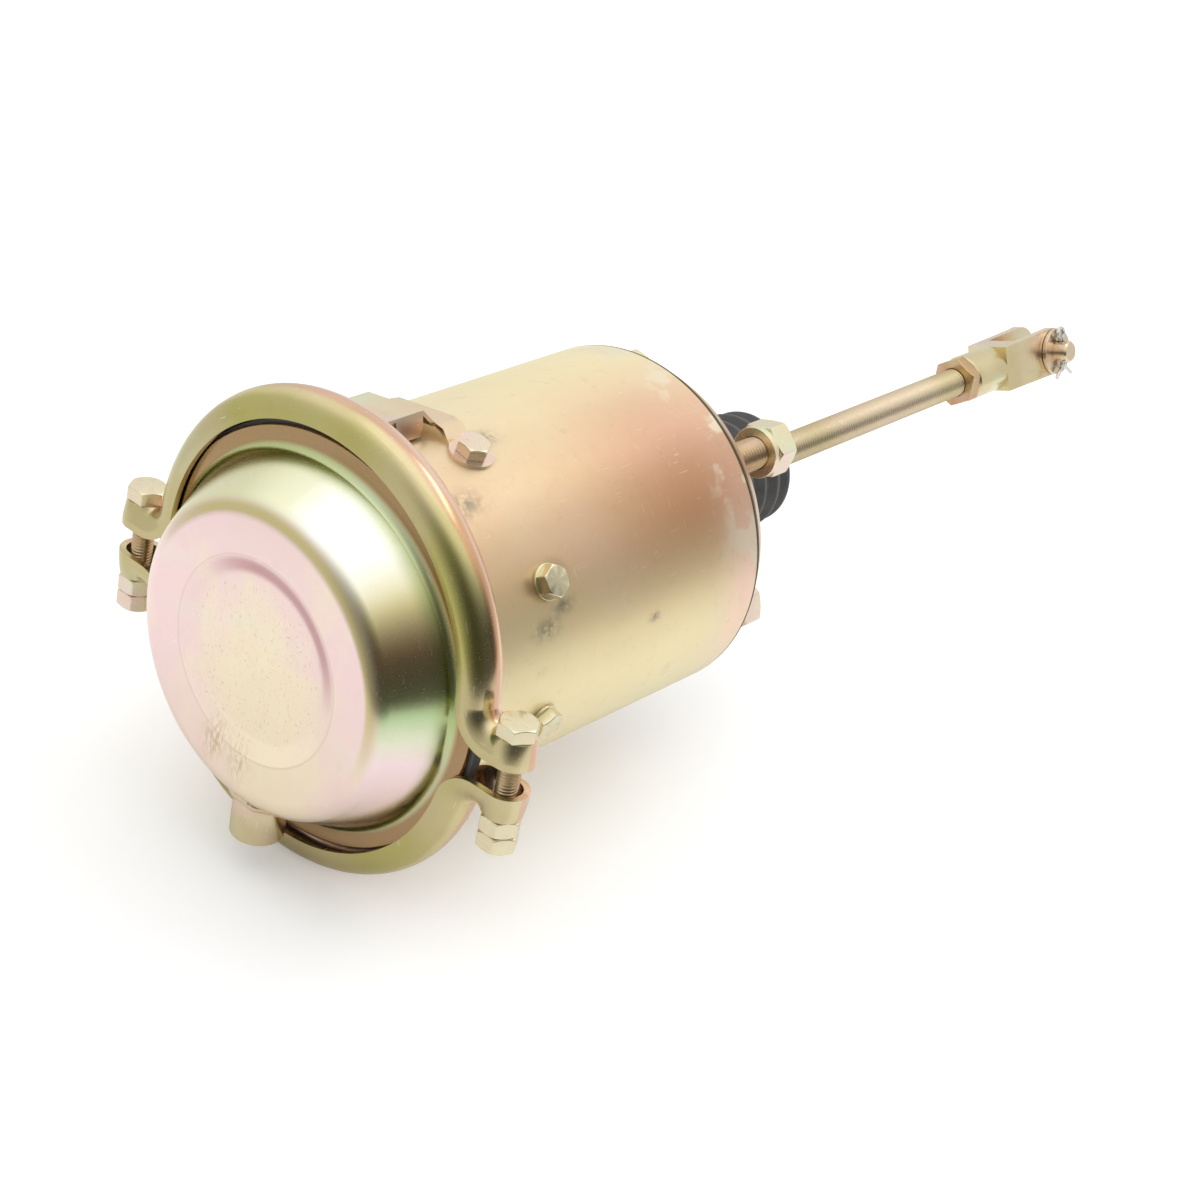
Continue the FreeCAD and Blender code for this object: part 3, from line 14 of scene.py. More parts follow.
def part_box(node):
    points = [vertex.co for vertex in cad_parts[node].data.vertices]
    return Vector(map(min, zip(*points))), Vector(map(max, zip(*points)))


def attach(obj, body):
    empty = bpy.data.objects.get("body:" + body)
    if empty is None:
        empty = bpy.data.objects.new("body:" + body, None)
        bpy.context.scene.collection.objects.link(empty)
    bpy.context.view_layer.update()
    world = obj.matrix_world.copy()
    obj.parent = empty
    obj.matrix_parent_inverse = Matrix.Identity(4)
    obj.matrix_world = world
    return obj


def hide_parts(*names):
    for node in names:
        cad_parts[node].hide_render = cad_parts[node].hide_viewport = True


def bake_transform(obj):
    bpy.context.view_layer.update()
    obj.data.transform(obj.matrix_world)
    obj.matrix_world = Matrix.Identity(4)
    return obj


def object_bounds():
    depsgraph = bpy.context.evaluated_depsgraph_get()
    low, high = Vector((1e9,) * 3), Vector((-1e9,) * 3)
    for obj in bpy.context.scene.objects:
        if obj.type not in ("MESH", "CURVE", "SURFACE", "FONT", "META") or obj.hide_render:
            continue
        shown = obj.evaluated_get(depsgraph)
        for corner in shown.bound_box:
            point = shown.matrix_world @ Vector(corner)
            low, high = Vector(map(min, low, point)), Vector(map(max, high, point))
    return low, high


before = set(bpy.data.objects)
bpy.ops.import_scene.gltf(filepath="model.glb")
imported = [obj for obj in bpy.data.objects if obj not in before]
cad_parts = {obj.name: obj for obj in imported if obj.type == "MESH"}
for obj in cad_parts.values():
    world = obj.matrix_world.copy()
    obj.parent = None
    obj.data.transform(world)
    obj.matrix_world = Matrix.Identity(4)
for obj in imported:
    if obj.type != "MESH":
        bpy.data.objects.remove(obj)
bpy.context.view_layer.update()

mm = 0.001

# %% [markdown]
# The camera comes first, so that each later piece can be judged in the same picture. Its place was
# worked out from the circles of the housing and the cover, which show how far away it stood. It could be
# aimed with a constraint, but its three axes written out also keep the slight roll of the picture.

# %% Camera
camera_data = bpy.data.cameras.new("camera")
camera_data.sensor_width = 36
camera_data.lens = 80.33
camera_data.clip_start = 0.05
camera_data.clip_end = 20
camera = bpy.data.objects.new("camera", camera_data)
bpy.context.scene.collection.objects.link(camera)
camera_place = Vector((-0.93513, -0.64891, 0.58843))
camera_right = Vector((0.64462, -0.74433, 0.17443))
camera_up = Vector((0.27776, 0.44059, 0.85365))
axes = Matrix((camera_right, camera_up, camera_right.cross(camera_up))).transposed()
camera.matrix_world = Matrix.Translation(camera_place) @ axes.to_4x4()
bpy.context.scene.camera = camera
print("camera stands", round(camera_place.length, 3), "m from the mounting face")

# %% [markdown]
# A few places along the rod are shared by many pieces. They are read from the frame's boxes, so they stay
# right when the model is packed again with another size.

# %% Places along the rod
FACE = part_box("front_cover")[0].x
COVER_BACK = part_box("front_cover")[1].x
HOUSING_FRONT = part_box("housing")[0].x
FLANGE_RADIUS = 93.2 * mm
CLAMP_X = sum(corner.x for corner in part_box("clamp_bolts")) / 2
SCREW_X = sum(corner.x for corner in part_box("radial_screws")) / 2
HOUSING_RADIUS = 82.8 * mm
HOUSING_BORE = 80.3 * mm
COVER_RADIUS = 82.8 * mm
SHEET = 3 * mm
POLE = 1e-9
print("cover face at", round(FACE, 4), "clamp at", round(CLAMP_X, 4), "screws at", round(SCREW_X, 4))

# %% [markdown]
# Nearly all of this object is turned, drawn or threaded, so its surfaces are rows of rings. One helper
# joins rows of points into a skin. It could also be done with the Screw or Spin tools, but rows of points
# can carry a thread, a dimple or a bent channel just as well as a plain turned shape.

# %% Skins from rows of points
def add_object(name, mesh):
    """An object for a mesh, at the origin of the scene."""
    piece = bpy.data.objects.new(name, mesh)
    bpy.context.scene.collection.objects.link(piece)
    return piece


def skin(name, rows, loop_rows=False, loop_columns=True):
    """Joins rows of points into a surface. A row of equal points becomes a pole."""
    rows = [np.asarray(row, float) for row in rows]
    points = np.concatenate(rows)
    count, width = len(rows), len(rows[0])
    faces = []
    for i in range(count if loop_rows else count - 1):
        low, high = i * width, (i + 1) % count * width
        for j in range(width if loop_columns else width - 1):
            k = (j + 1) % width
            faces.append((low + j, low + k, high + k, high + j))
    mesh = bpy.data.meshes.new(name)
    mesh.from_pydata(points.tolist(), [], faces)
    shaped = bmesh.new()
    shaped.from_mesh(mesh)
    bmesh.ops.remove_doubles(shaped, verts=shaped.verts, dist=1e-6)
    bmesh.ops.recalc_face_normals(shaped, faces=shaped.faces)
    for face in shaped.faces:
        face.smooth = True
    shaped.to_mesh(mesh)
    shaped.free()
    return add_object(name, mesh)


def rounded(corners, steps=5):
    """An outline of (along, radius, fillet) corners, with each fillet as an arc."""
    corners = [(c[0], c[1], c[2] if len(c) > 2 else 0) for c in corners]
    outline = []
    for i, (x, r, fillet) in enumerate(corners):
        here = np.array((x, r))
        if fillet == 0 or i in (0, len(corners) - 1):
            outline.append(here)
            continue
        before = np.array(corners[i - 1][:2]) - here
        after = np.array(corners[i + 1][:2]) - here
        before, after = before / np.linalg.norm(before), after / np.linalg.norm(after)
        half = math.acos(np.clip(before @ after, -1, 1)) / 2
        centre = here + (before + after) / np.linalg.norm(before + after) * fillet / math.sin(half)
        a, b = here + before * fillet / math.tan(half), here + after * fillet / math.tan(half)
        turn = math.pi - 2 * half
        for k in range(steps + 1):
            share = k / steps
            swung = (math.sin((1 - share) * turn) * (a - centre) + math.sin(share * turn) * (b - centre))
            outline.append(centre + swung / math.sin(turn))
    return np.array(outline)


def turns(count):
    """Angles spaced evenly over one full turn."""
    return np.arange(count) * 2 * math.pi / count


def ring(along, radius, around):
    """A ring of points about the X axis."""
    angle = turns(around)
    return np.stack([np.full(around, along), radius * np.cos(angle), radius * np.sin(angle)], 1)


def lathe(name, outline, around=192, closed=True):
    """Turns an outline of (along, radius) points about the X axis."""
    return skin(name, [ring(x, r, around) for x, r in outline], loop_rows=closed)


print("helpers for turned pieces are ready")

# %% [markdown]
# Finished pieces need even shading where a small fillet meets a large flat. The Weighted Normal modifier
# lets the large face decide, which is how a polished edge looks on real sheet. Sharp machined pieces get
# a narrow bevel first, because no real edge is perfectly sharp, and the bevel catches the light.

# %% Finishing touches for meshes
def even(piece):
    """Shading normals follow the large faces."""
    modifier = piece.modifiers.new("even_normals", "WEIGHTED_NORMAL")
    modifier.keep_sharp = True
    return piece


def bevelled(piece, width, segments=2):
    """Breaks the sharp edges over this width."""
    modifier = piece.modifiers.new("edge_break", "BEVEL")
    modifier.width = width
    modifier.segments = segments
    modifier.limit_method = "ANGLE"
    modifier.angle_limit = math.radians(32)
    modifier.harden_normals = False
    return even(piece)


def applied(piece):
    """The piece with its modifiers turned into plain mesh."""
    bpy.context.view_layer.update()
    evaluated = piece.evaluated_get(bpy.context.evaluated_depsgraph_get())
    mesh = bpy.data.meshes.new_from_object(evaluated)
    piece.modifiers.clear()
    piece.data = mesh
    mesh.name = piece.name
    return piece


def joined(name, pieces):
    """Several pieces as one, with their modifiers applied."""
    merged = bmesh.new()
    for piece in pieces:
        merged.from_mesh(applied(piece).data)
        bpy.data.objects.remove(piece)
    mesh = bpy.data.meshes.new(name)
    merged.to_mesh(mesh)
    merged.free()
    return add_object(name, mesh)


def softened(node, width):
    """A copy of a frame piece with its faces merged and its edges broken."""
    copy = bmesh.new()
    copy.from_mesh(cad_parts[node].data)
    bmesh.ops.remove_doubles(copy, verts=copy.verts, dist=0.5e-6)
    bmesh.ops.dissolve_limit(copy, angle_limit=math.radians(2), verts=copy.verts, edges=copy.edges)
    for face in copy.faces:
        face.smooth = True
    mesh = bpy.data.meshes.new(node + "_softened")
    copy.to_mesh(mesh)
    copy.free()
    piece = add_object(node + "_finished", mesh)
    return bevelled(piece, width)


print("finishing touches are ready")

# %% Placing and installing
def moved(piece, x=0.0, y=0.0, z=0.0):
    """Moves the mesh and leaves the object at the origin."""
    piece.data.transform(Matrix.Translation((x, y, z)))
    return piece


def turned_over(piece):
    """Half a turn about the X axis."""
    piece.data.transform(Matrix.Rotation(math.pi, 4, "X"))
    return piece


def coat(piece, material):
    """Gives a piece one material and no other."""
    piece.data.materials.clear()
    piece.data.materials.append(material)
    return piece


def install(piece, body, material, replaces=()):
    """Gives a finished piece its material, its body and the frame piece that it stands for."""
    coat(piece, material)
    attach(piece, body)
    if replaces:
        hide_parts(*replaces)
    return piece


print("placing helpers are ready")

# %% [markdown]
# Geometry Nodes and shaders are both graphs of nodes. One small class adds a node with its settings and
# sockets, and another wraps an output so that plain arithmetic adds the Math nodes. Wiring by hand in the
# editor gives the same graphs, but written as arithmetic they can be read like a recipe.

# %% Graphs of nodes written as arithmetic
class Wire:
    """An output socket that takes part in sums."""

    def __init__(self, socket):
        self.socket = socket

    def math(self, operation, *others):
        return Graph(self.socket.id_data).node("ShaderNodeMath", {"operation": operation}, [self, *others])

    def __add__(self, other):
        return self.math("ADD", other)

    def __sub__(self, other):
        return self.math("SUBTRACT", other)

    def __mul__(self, other):
        return self.math("MULTIPLY", other)

    def __truediv__(self, other):
        return self.math("DIVIDE", other)

    def __pow__(self, other):
        return self.math("POWER", other)

    def __neg__(self):
        return self * -1

    def __radd__(self, other):
        return self + other

    def __rsub__(self, other):
        return -self + other

    def __rmul__(self, other):
        return self * other

    def exp(self):
        return self.math("EXPONENT")

    def sine(self):
        return self.math("SINE")

    def step(self, low, high):
        """0 below low, 1 above high and a smooth rise between."""
        return Graph(self.socket.id_data).node(
            "ShaderNodeMapRange", {"interpolation_type": "SMOOTHSTEP"},
            {"Value": self, "From Min": low, "From Max": high})


print("sockets take part in sums")

# %% Trees that nodes are added to
class Graph:
    """A node tree that nodes are added to by type, settings and sockets."""

    def __init__(self, tree):
        self.tree = tree

    def plug(self, socket, value):
        if isinstance(value, Wire):
            self.tree.links.new(value.socket, socket)
        else:
            socket.default_value = value

    def node(self, kind, settings=None, sockets=None, output=0):
        added = self.tree.nodes.new(kind)
        for name, value in (settings or {}).items():
            if name == "stops":
                ramp = added.color_ramp
                while len(ramp.elements) < len(value):
                    ramp.elements.new(1)
                for element, (place, colour) in zip(ramp.elements, value):
                    element.position = place
                    element.color = (*colour, 1)
            else:
                setattr(added, name, value)
        pairs = sockets.items() if isinstance(sockets, dict) else enumerate(sockets or [])
        for name, value in pairs:
            self.plug(added.inputs[name], value)
        return Wire(added.outputs[output]) if len(added.outputs) else None


print("graph helpers are ready")

# %% [markdown]
# Nearly every metal piece in view is zinc plated and then dipped in yellow chromate. The chromate film is
# thinner than a wavelength, so the metal keeps its gloss and drifts between gold, rose and pale green. It
# could be painted by hand, but smooth noise fields in the piece's own coordinates give the same slow drift,
# and stay put from every side.

# %% Fields and masks for finishes
class Finish(Graph):
    """A material on the piece's own coordinates, with helpers for fields and layers."""

    def __init__(self, name):
        self.material = bpy.data.materials.new(name)
        self.material.use_nodes = True
        super().__init__(self.material.node_tree)
        self.tree.nodes.clear()
        self.here = self.node("ShaderNodeTexCoord", output="Object")
        split = self.node("ShaderNodeSeparateXYZ", None, [self.here]).socket.node
        self.x, self.y, self.z = (Wire(split.outputs[i]) for i in range(3))
        self.angle = self.z.math("ARCTAN2", self.y)
        self.radius = (self.y * self.y + self.z * self.z) ** 0.5

    def noise(self, per_metre, detail=2, offset=0.0, stretch=(1, 1, 1), roughness=0.5, distortion=0):
        placed = self.node("ShaderNodeMapping", None, {
            "Vector": self.here, "Location": (offset, offset * 0.7, -offset), "Scale": stretch})
        return self.node("ShaderNodeTexNoise", None, {
            "Vector": placed, "Scale": per_metre, "Detail": detail, "Roughness": roughness,
            "Distortion": distortion})

    def mix(self, low, high, share):
        def colour(value):
            return value if isinstance(value, Wire) else (*value, 1)
        return self.node("ShaderNodeMix", {"data_type": "RGBA"},
                         {0: share, 6: colour(low), 7: colour(high)}, output=2)

    def facing(self, degrees):
        """1 towards this angle round the rod, 0 a quarter turn from it and -1 opposite."""
        return (self.angle - math.radians(degrees)).math("COSINE")

    def aside(self, degrees):
        """Distance round the rod from this angle, which holds close to it."""
        return (self.angle - math.radians(degrees)).sine() * self.radius

    def band(self, start, full, end, gone):
        """A ring over these radii: it rises from start to full and fades from end to gone."""
        return self.radius.step(start, full) * (1 - self.radius.step(end, gone))

    def spot(self, x, degrees, size_x, size_around):
        """A soft round patch at a place on a turned surface: along the rod, and around it."""
        along = (self.x - x) / size_x
        aside = self.aside(degrees) / size_around
        return (-(along * along + aside * aside)).exp() * self.facing(degrees).step(0, 0.2)

    def sweep(self, stops, per_metre, sway, offset):
        """Colours that follow one another round the rod, at angles in degrees, with a wavering edge."""
        waver = (self.noise(per_metre, 2, offset) - 0.5) * sway
        turn = (self.angle / (2 * math.pi) + 1 + waver).math("FRACT")
        places = [(degrees / 360, shade) for degrees, shade in stops]
        return self.node("ShaderNodeValToRGB", {"stops": places}, [turn])

    def finish(self, colour, roughness, metallic=1.0, bump=None, strength=0.1, distance=0.0002, **constants):
        shader = self.node("ShaderNodeBsdfPrincipled", None, {
            "Base Color": colour if isinstance(colour, Wire) else (*colour, 1),
            "Roughness": roughness, "Metallic": metallic, **constants})
        if bump is not None:
            normal = self.node("ShaderNodeBump", None, {
                "Height": bump, "Strength": strength, "Distance": distance})
            self.tree.links.new(normal.socket, shader.socket.node.inputs["Normal"])
        self.node("ShaderNodeOutputMaterial", None, {"Surface": shader})
        return self.material


print("fields and masks are ready")

# %% Chromated zinc
PALE_GOLD = (0.84, 0.75, 0.48)
ROSE = (0.83, 0.62, 0.60)
PALE_GREEN = (0.72, 0.80, 0.58)
GRAIN_DEPTH = 0.08 * mm


def chromate_drift(finish, base, rose=0.5, pale=0.5, green=0.4, per_metre=9.0, seed=0.0):
    """Base colour drifting through rose, pale gold and pale green in slow patches."""
    first = finish.noise(per_metre, 1, seed, distortion=0.6)
    second = finish.noise(per_metre * 0.8, 1, seed + 3.1, distortion=0.5)
    third = finish.noise(per_metre * 1.3, 1, seed + 7.7, distortion=0.4)
    colour = finish.mix(base, PALE_GOLD, first.step(0.42, 0.68) * pale)
    colour = finish.mix(colour, ROSE, second.step(0.45, 0.66) * rose)
    return finish.mix(colour, PALE_GREEN, third.step(0.52, 0.70) * green)


def worn(finish, colour, mottle, seed):
    """Fine cloudy mottling and hairline scratches over a plated colour."""
    cloud = finish.noise(160, 4, seed, roughness=0.65)
    colour = finish.mix(colour, (0.30, 0.24, 0.13), cloud.step(0.55, 0.85) * mottle * 2)
    across = finish.noise(90, 2, seed + 1, stretch=(1.0, 22, 22))
    along = finish.noise(70, 2, seed + 5, stretch=(30, 1.5, 1.5))
    scratches = across.step(0.70, 0.74) + along.step(0.71, 0.75)
    return finish.mix(colour, (0.93, 0.90, 0.82), scratches * 0.35), cloud, scratches


def plated(finish, colour, roughness, seed, mottle, cloudy=0.10, fineness=1800, strength=0.08):
    """Wear, grain and gloss over a plated colour, which most of the plated finishes end with."""
    colour, cloud, scratches = worn(finish, colour, mottle, seed)
    grain = finish.noise(fineness, 2, seed)
    rough = roughness + (cloud - 0.5) * cloudy + scratches * 0.1
    return finish.finish(colour, rough, bump=grain, strength=strength, distance=GRAIN_DEPTH)


def chromate(name, base, roughness, seed, **drift):
    """The plain plated finish of the smaller pieces."""
    finish = Finish(name)
    return plated(finish, chromate_drift(finish, base, seed=seed, **drift), roughness, seed, 0.08)


print("chromate finish is ready")

# %% [markdown]
# The housing's film changes colour mostly round the rod. A ramp over the angle lays down that run of
# colours, a few soft spots add the patches that the ramp can't, and ragged smudges show where it was
# handled. A painted image could hold all this too, but it would blur up close and need unwrapping first.

# %% Housing's finish
HOUSING_ROUND = [
    (0, (0.78, 0.62, 0.38)), (60, (0.93, 0.84, 0.55)), (82, (0.92, 0.80, 0.53)),
    (99, (0.86, 0.69, 0.46)), (115, (0.66, 0.46, 0.28)), (133, (0.58, 0.37, 0.20)),
    (145, (0.68, 0.46, 0.25)), (158, (0.82, 0.66, 0.38)), (170, (0.92, 0.78, 0.48)),
    (187, (0.95, 0.84, 0.54)), (212, (0.94, 0.86, 0.58)), (262, (0.78, 0.60, 0.36)),
    (318, (0.68, 0.50, 0.28)), (360, (0.78, 0.62, 0.38))]
# Each patch is its colour, its strength, and its place: along the rod, round it, and its two sizes.
ROSE_PATCH = ((0.66, 0.40, 0.31), 0.7, (-0.044, 121, 0.055, 0.030))
BROWN_PATCH = ((0.44, 0.20, 0.10), 0.75, (-0.040, 143, 0.070, 0.030))
PINK_STRIP = ((0.96, 0.68, 0.60), 0.7, (-0.018, 176, 0.018, 0.045))
DULL_FILM = (0.80, 0.76, 0.60)
SMUDGE = (0.20, 0.18, 0.15)
SMUDGES = ((-0.142, 99, 0.008), (-0.178, 118, 0.010), (-0.158, 161, 0.007), (-0.147, 156, 0.006),
           (-0.087, 172, 0.0035))
# Nearly black, painted on the housing's rear edge: a painted dark reflection, not a colour of the plating.
BEVEL_PAINTED_REFLECTION = (0.06, 0.05, 0.015)


def housing_material():
    """Angles are degrees round the rod: 90 is the top, and 180 the side that faces the camera."""
    finish = Finish("chromate_housing")
    base = finish.sweep(HOUSING_ROUND, 9, 0.05, 3)
    colour = chromate_drift(finish, base, rose=0.22, pale=0.25, green=0.10, per_metre=9, seed=2)
    for shade, share, place in (ROSE_PATCH, BROWN_PATCH, PINK_STRIP):
        colour = finish.mix(colour, shade, finish.spot(*place) * share)
    blotch = finish.noise(55, 3, 4, roughness=0.6).step(0.48, 0.6)
    colour = finish.mix(colour, DULL_FILM, finish.x.step(-0.045, -0.018) * blotch * 0.6)
    colour, cloud, scratches = worn(finish, colour, 0.10, 2)
    for x, degrees, size in SMUDGES:
        ragged = finish.noise(220, 4, x * 9, roughness=0.7)
        smudge = finish.spot(x, degrees, size, size * 0.6) * ragged.step(0.30, 0.62)
        colour = finish.mix(colour, SMUDGE, smudge * 0.75)
    # Painted dark reflection: the band from 14 mm to 7 mm before the rear face is painted nearly black.
    edge = finish.x.step(-14.0 * mm, -13.2 * mm) * (1 - finish.x.step(-10.5 * mm, -7.0 * mm))
    colour = finish.mix(colour, BEVEL_PAINTED_REFLECTION, edge * 0.97)
    grain = finish.noise(1500, 2, 2)
    rough = 0.48 + (cloud - 0.5) * 0.12 + scratches * 0.05
    return finish.finish(colour, rough, bump=grain, strength=0.10, distance=0.1 * mm)


housing_zinc = housing_material()
print("housing's finish:", housing_zinc.name)

# %% [markdown]
# The cover is smoother than the housing. Its face is rose with thin yellow and green films, fine strokes
# and two rubbed places by the port, with painted shade on the recess's upper slope and along its crease.
# Its side runs through olive, copper and green round the rod, partly the film's own colour and partly
# painted highlight and reflection. Its corner carries a painted olive reflection towards the top, its mouth
# a painted green reflection next to the clamp, and its flange painted shade under the clamp's lip. Masks
# over the radius keep the face, the corner and the side apart.

# %% Cover's finish
COVER_ROSE = (0.97, 0.74, 0.73)
YELLOW_FILM = (0.99, 0.90, 0.56)
# Colours round the cover's side, partly the film's own drift and partly painted light: near white under the
# broad highlight, with brown and green bands copied from reflections beside it.
COVER_ROUND_FILM_AND_REFLECTION = [
    (0, (0.93, 0.85, 0.60)), (70, (0.80, 0.80, 0.52)), (90, (0.90, 0.90, 0.66)),
    (106, (0.99, 0.98, 0.92)), (128, (0.97, 0.95, 0.80)), (140, (0.93, 0.82, 0.42)),
    (153, (0.84, 0.58, 0.30)), (162, (0.62, 0.58, 0.28)), (172, (0.52, 0.68, 0.36)),
    (181, (0.80, 0.82, 0.62)), (190, (0.98, 0.78, 0.80)), (216, (0.97, 0.76, 0.70)),
    (240, (0.94, 0.80, 0.62)), (310, (0.80, 0.76, 0.48)), (360, (0.93, 0.85, 0.60))]
# Painted reflection: the dark olive band that the cover's rounded corner shows towards the top.
CORNER_PAINTED_REFLECTION = (0.62, 0.54, 0.24)
# Painted reflection: the dark green band on the cover's mouth next to the clamp.
MOUTH_PAINTED_REFLECTION = (0.42, 0.50, 0.18)
# Painted shade: the dark brown of the flange where it lies in shadow under the clamp's lip.
FLANGE_PAINTED_SHADE = (0.42, 0.25, 0.13)


def face_films(finish, colour, front):
    """Thin films and fine strokes on the face."""
    low_left = finish.spot(FACE, 250, 0.05, 0.035) + (-(finish.radius / 0.028) ** 2).exp()
    colour = finish.mix(colour, YELLOW_FILM, low_left.math("MINIMUM", 1) * front * 0.6)
    yellow = finish.noise(38, 3, 14, stretch=(1, 1.6, 0.7)).step(0.48, 0.70) * front
    colour = finish.mix(colour, (0.99, 0.90, 0.60), yellow * 0.4)
    green = finish.noise(30, 3, 23, stretch=(1, 0.8, 1.5)).step(0.54, 0.74) * front
    colour = finish.mix(colour, (0.86, 0.92, 0.72), green * 0.22)
    for seed, stretch in ((31, (1, 26, 5)), (37, (1, 6, 24))):
        stroke = finish.noise(60, 2, seed, stretch=stretch).step(0.66, 0.72) * front
        stroke = stroke * (1 - finish.radius.step(30 * mm, 52 * mm))
        colour = finish.mix(colour, (0.60, 0.46, 0.34), stroke * 0.65)
    return colour


def face_marks(finish, colour, front):
    """Painted shade on the recess's upper slope, a painted dark line along its crease, and the two rubbed
    places beside the port.
    """
    # Painted shade on the upper slope of the recess.
    painted_recess_shade = finish.band(37 * mm, 41 * mm, 43 * mm, 47 * mm) * finish.facing(112).step(0.2, 0.9)
    colour = finish.mix(colour, (0.62, 0.36, 0.37), painted_recess_shade * front * 0.95)
    # Painted shade: a thin dark line along the recess's crease.
    painted_crease_shade = (-((finish.radius - 46.5 * mm) / (0.4 * mm)) ** 2).exp() * front
    colour = finish.mix(colour, (0.66, 0.52, 0.36), painted_crease_shade * 0.35)
    for degrees, share in ((290, 0.8), (272, 0.6)):
        rubbed = finish.noise(90, 2, degrees, stretch=(1, 12, 3)).step(0.40, 0.62)
        aside = finish.aside(degrees) / (6 * mm)
        along = (finish.radius - 51 * mm) / (9 * mm)
        patch = (-(aside * aside + along * along)).exp() * rubbed * front
        colour = finish.mix(colour, (0.62, 0.46, 0.26), patch * finish.facing(degrees).step(0, 0.3) * share)
    return colour


def cover_material():
    """Face, corner, side, mouth and flange, one mask after another."""
    finish = Finish("chromate_cover")
    front = 1 - finish.x.step(FACE + 3 * mm, FACE + 10 * mm)
    colour = chromate_drift(finish, COVER_ROSE, rose=0.10, pale=0.15, green=0.05, per_metre=8, seed=9)
    colour = face_marks(finish, face_films(finish, colour, front), front)
    side = finish.radius.step(67 * mm, 71 * mm)
    # The side's run of colours round the rod: partly film colour, partly painted highlight and painted
    # reflection.
    colour = finish.mix(colour, finish.sweep(COVER_ROUND_FILM_AND_REFLECTION, 12, 0.02, 6), side)
    # Painted reflection on the upper part of the corner, between the face and the side.
    corner = finish.radius.step(63 * mm, 65.5 * mm) * (1 - side) * finish.facing(112).step(-0.1, 0.6)
    colour = finish.mix(colour, CORNER_PAINTED_REFLECTION, corner * 0.9)
    # Painted reflection of the clamp on the mouth of the dish.
    mouth = finish.x.step(FACE + 21 * mm, FACE + 29 * mm)
    colour = finish.mix(colour, MOUTH_PAINTED_REFLECTION, mouth * 0.7)
    # Painted shade on the flange under the clamp's lip.
    colour = finish.mix(colour, FLANGE_PAINTED_SHADE, finish.radius.step(84.5 * mm, 87 * mm) * 0.9)
    return plated(finish, colour, 0.22, 9, 0.05, cloudy=0.06, strength=0.07)


cover_zinc = cover_material()
print("cover's finish:", cover_zinc.name)

# %% [markdown]
# The clamp's colours run along its channel, so its bands follow the distance from the clamp's middle. The
# other plated pieces are small, and the plain finish with its own base colour is enough for each.

# %% Finishes of the clamp and the smaller plated pieces
CLAMP_FRONT = (0.48, 0.44, 0.14)
# Each band is its colour, where it starts and is full in millimetres from the middle, and its strength.
CLAMP_BANDS = (((0.66, 0.58, 0.26), -8, -5, 1.0), ((0.66, 0.36, 0.20), -3.5, -1, 0.9),
               ((0.92, 0.64, 0.54), 1.5, 4, 0.9), ((0.54, 0.44, 0.18), 6.5, 9, 0.8))


def clamp_material():
    """Olive on the channel's front shoulder, copper and pink over its crown, and olive at its back lip."""
    finish = Finish("chromate_clamp")
    waver = (finish.noise(16, 2, 5) - 0.5) * 0.008
    across = finish.x - CLAMP_X + waver
    colour = CLAMP_FRONT
    for shade, start, full, share in CLAMP_BANDS:
        colour = finish.mix(colour, shade, across.step(start * mm, full * mm) * share)
    colour = chromate_drift(finish, colour, rose=0.25, pale=0.1, green=0.2, per_metre=15, seed=5)
    return plated(finish, colour, 0.22, 5, 0.07, cloudy=0.08, fineness=1700)


clamp_zinc = clamp_material()
hood_zinc = chromate("chromate_hood", (0.82, 0.64, 0.44), 0.24, 11,
                     rose=0.6, pale=0.3, green=0.7, per_metre=30)
fastener_zinc = chromate("chromate_fasteners", (0.80, 0.72, 0.50), 0.26, 21,
                         rose=0.6, pale=0.4, green=0.5, per_metre=38)
copper_zinc = chromate("chromate_copper", (0.56, 0.34, 0.17), 0.26, 31,
                       rose=0.3, pale=0.2, green=0.2, per_metre=40)
thread_zinc = chromate("chromate_threads", (0.62, 0.44, 0.26), 0.34, 25,
                       rose=0.3, pale=0.3, green=0.1, per_metre=40)
rod_zinc = chromate("chromate_rod", (0.58, 0.48, 0.29), 0.38, 31,
                    rose=0.3, pale=0.3, green=0.1, per_metre=14)
clevis_zinc = chromate("chromate_clevis", (0.68, 0.57, 0.33), 0.26, 41,
                       rose=0.4, pale=0.4, green=0.4, per_metre=26)
print("plated finishes:", clamp_zinc.name, hood_zinc.name, fastener_zinc.name, clevis_zinc.name)

# %% [markdown]
# The other finishes are simple on the real object: matte rubber with a faint bloom and paler crests, bright
# plain steel on the cotter pin and the boot's clip, dark steel inside, and black plastic for the bush.

# %% Rubber, plain steel and the inner pieces
def rubber_material():
    """Dusty black, rubbed paler on the boot's crests."""
    finish = Finish("rubber")
    dust = finish.noise(60, 5, 1, roughness=0.7)
    colour = finish.mix((0.045, 0.045, 0.044), (0.085, 0.083, 0.08), dust.step(0.4, 0.75))
    crest = finish.radius.step(28.6 * mm, 29.4 * mm)
    colour = finish.mix(colour, (0.16, 0.155, 0.15), crest * 0.6)
    grain = finish.noise(900, 3, 2)
    return finish.finish(colour, 0.55 + (dust - 0.5) * 0.2, 0.0, bump=grain, strength=0.2, distance=0.0001)


def steel_material(name, colour, roughness, seed):
    """Plain steel with a soft cloudiness."""
    finish = Finish(name)
    cloud = finish.noise(120, 4, seed, roughness=0.6)
    shade = tuple(c * 0.7 for c in colour)
    mixed = finish.mix(shade, colour, cloud.step(0.3, 0.6))
    return finish.finish(mixed, roughness + (cloud - 0.5) * 0.15, 1.0, bump=cloud, strength=0.05)


def plastic_material():
    """Black with a slightly uneven gloss."""
    finish = Finish("bush_plastic")
    cloud = finish.noise(200, 3, 6)
    return finish.finish(finish.mix((0.03, 0.03, 0.03), (0.05, 0.05, 0.05), cloud), 0.45 + cloud * 0.1, 0.0)


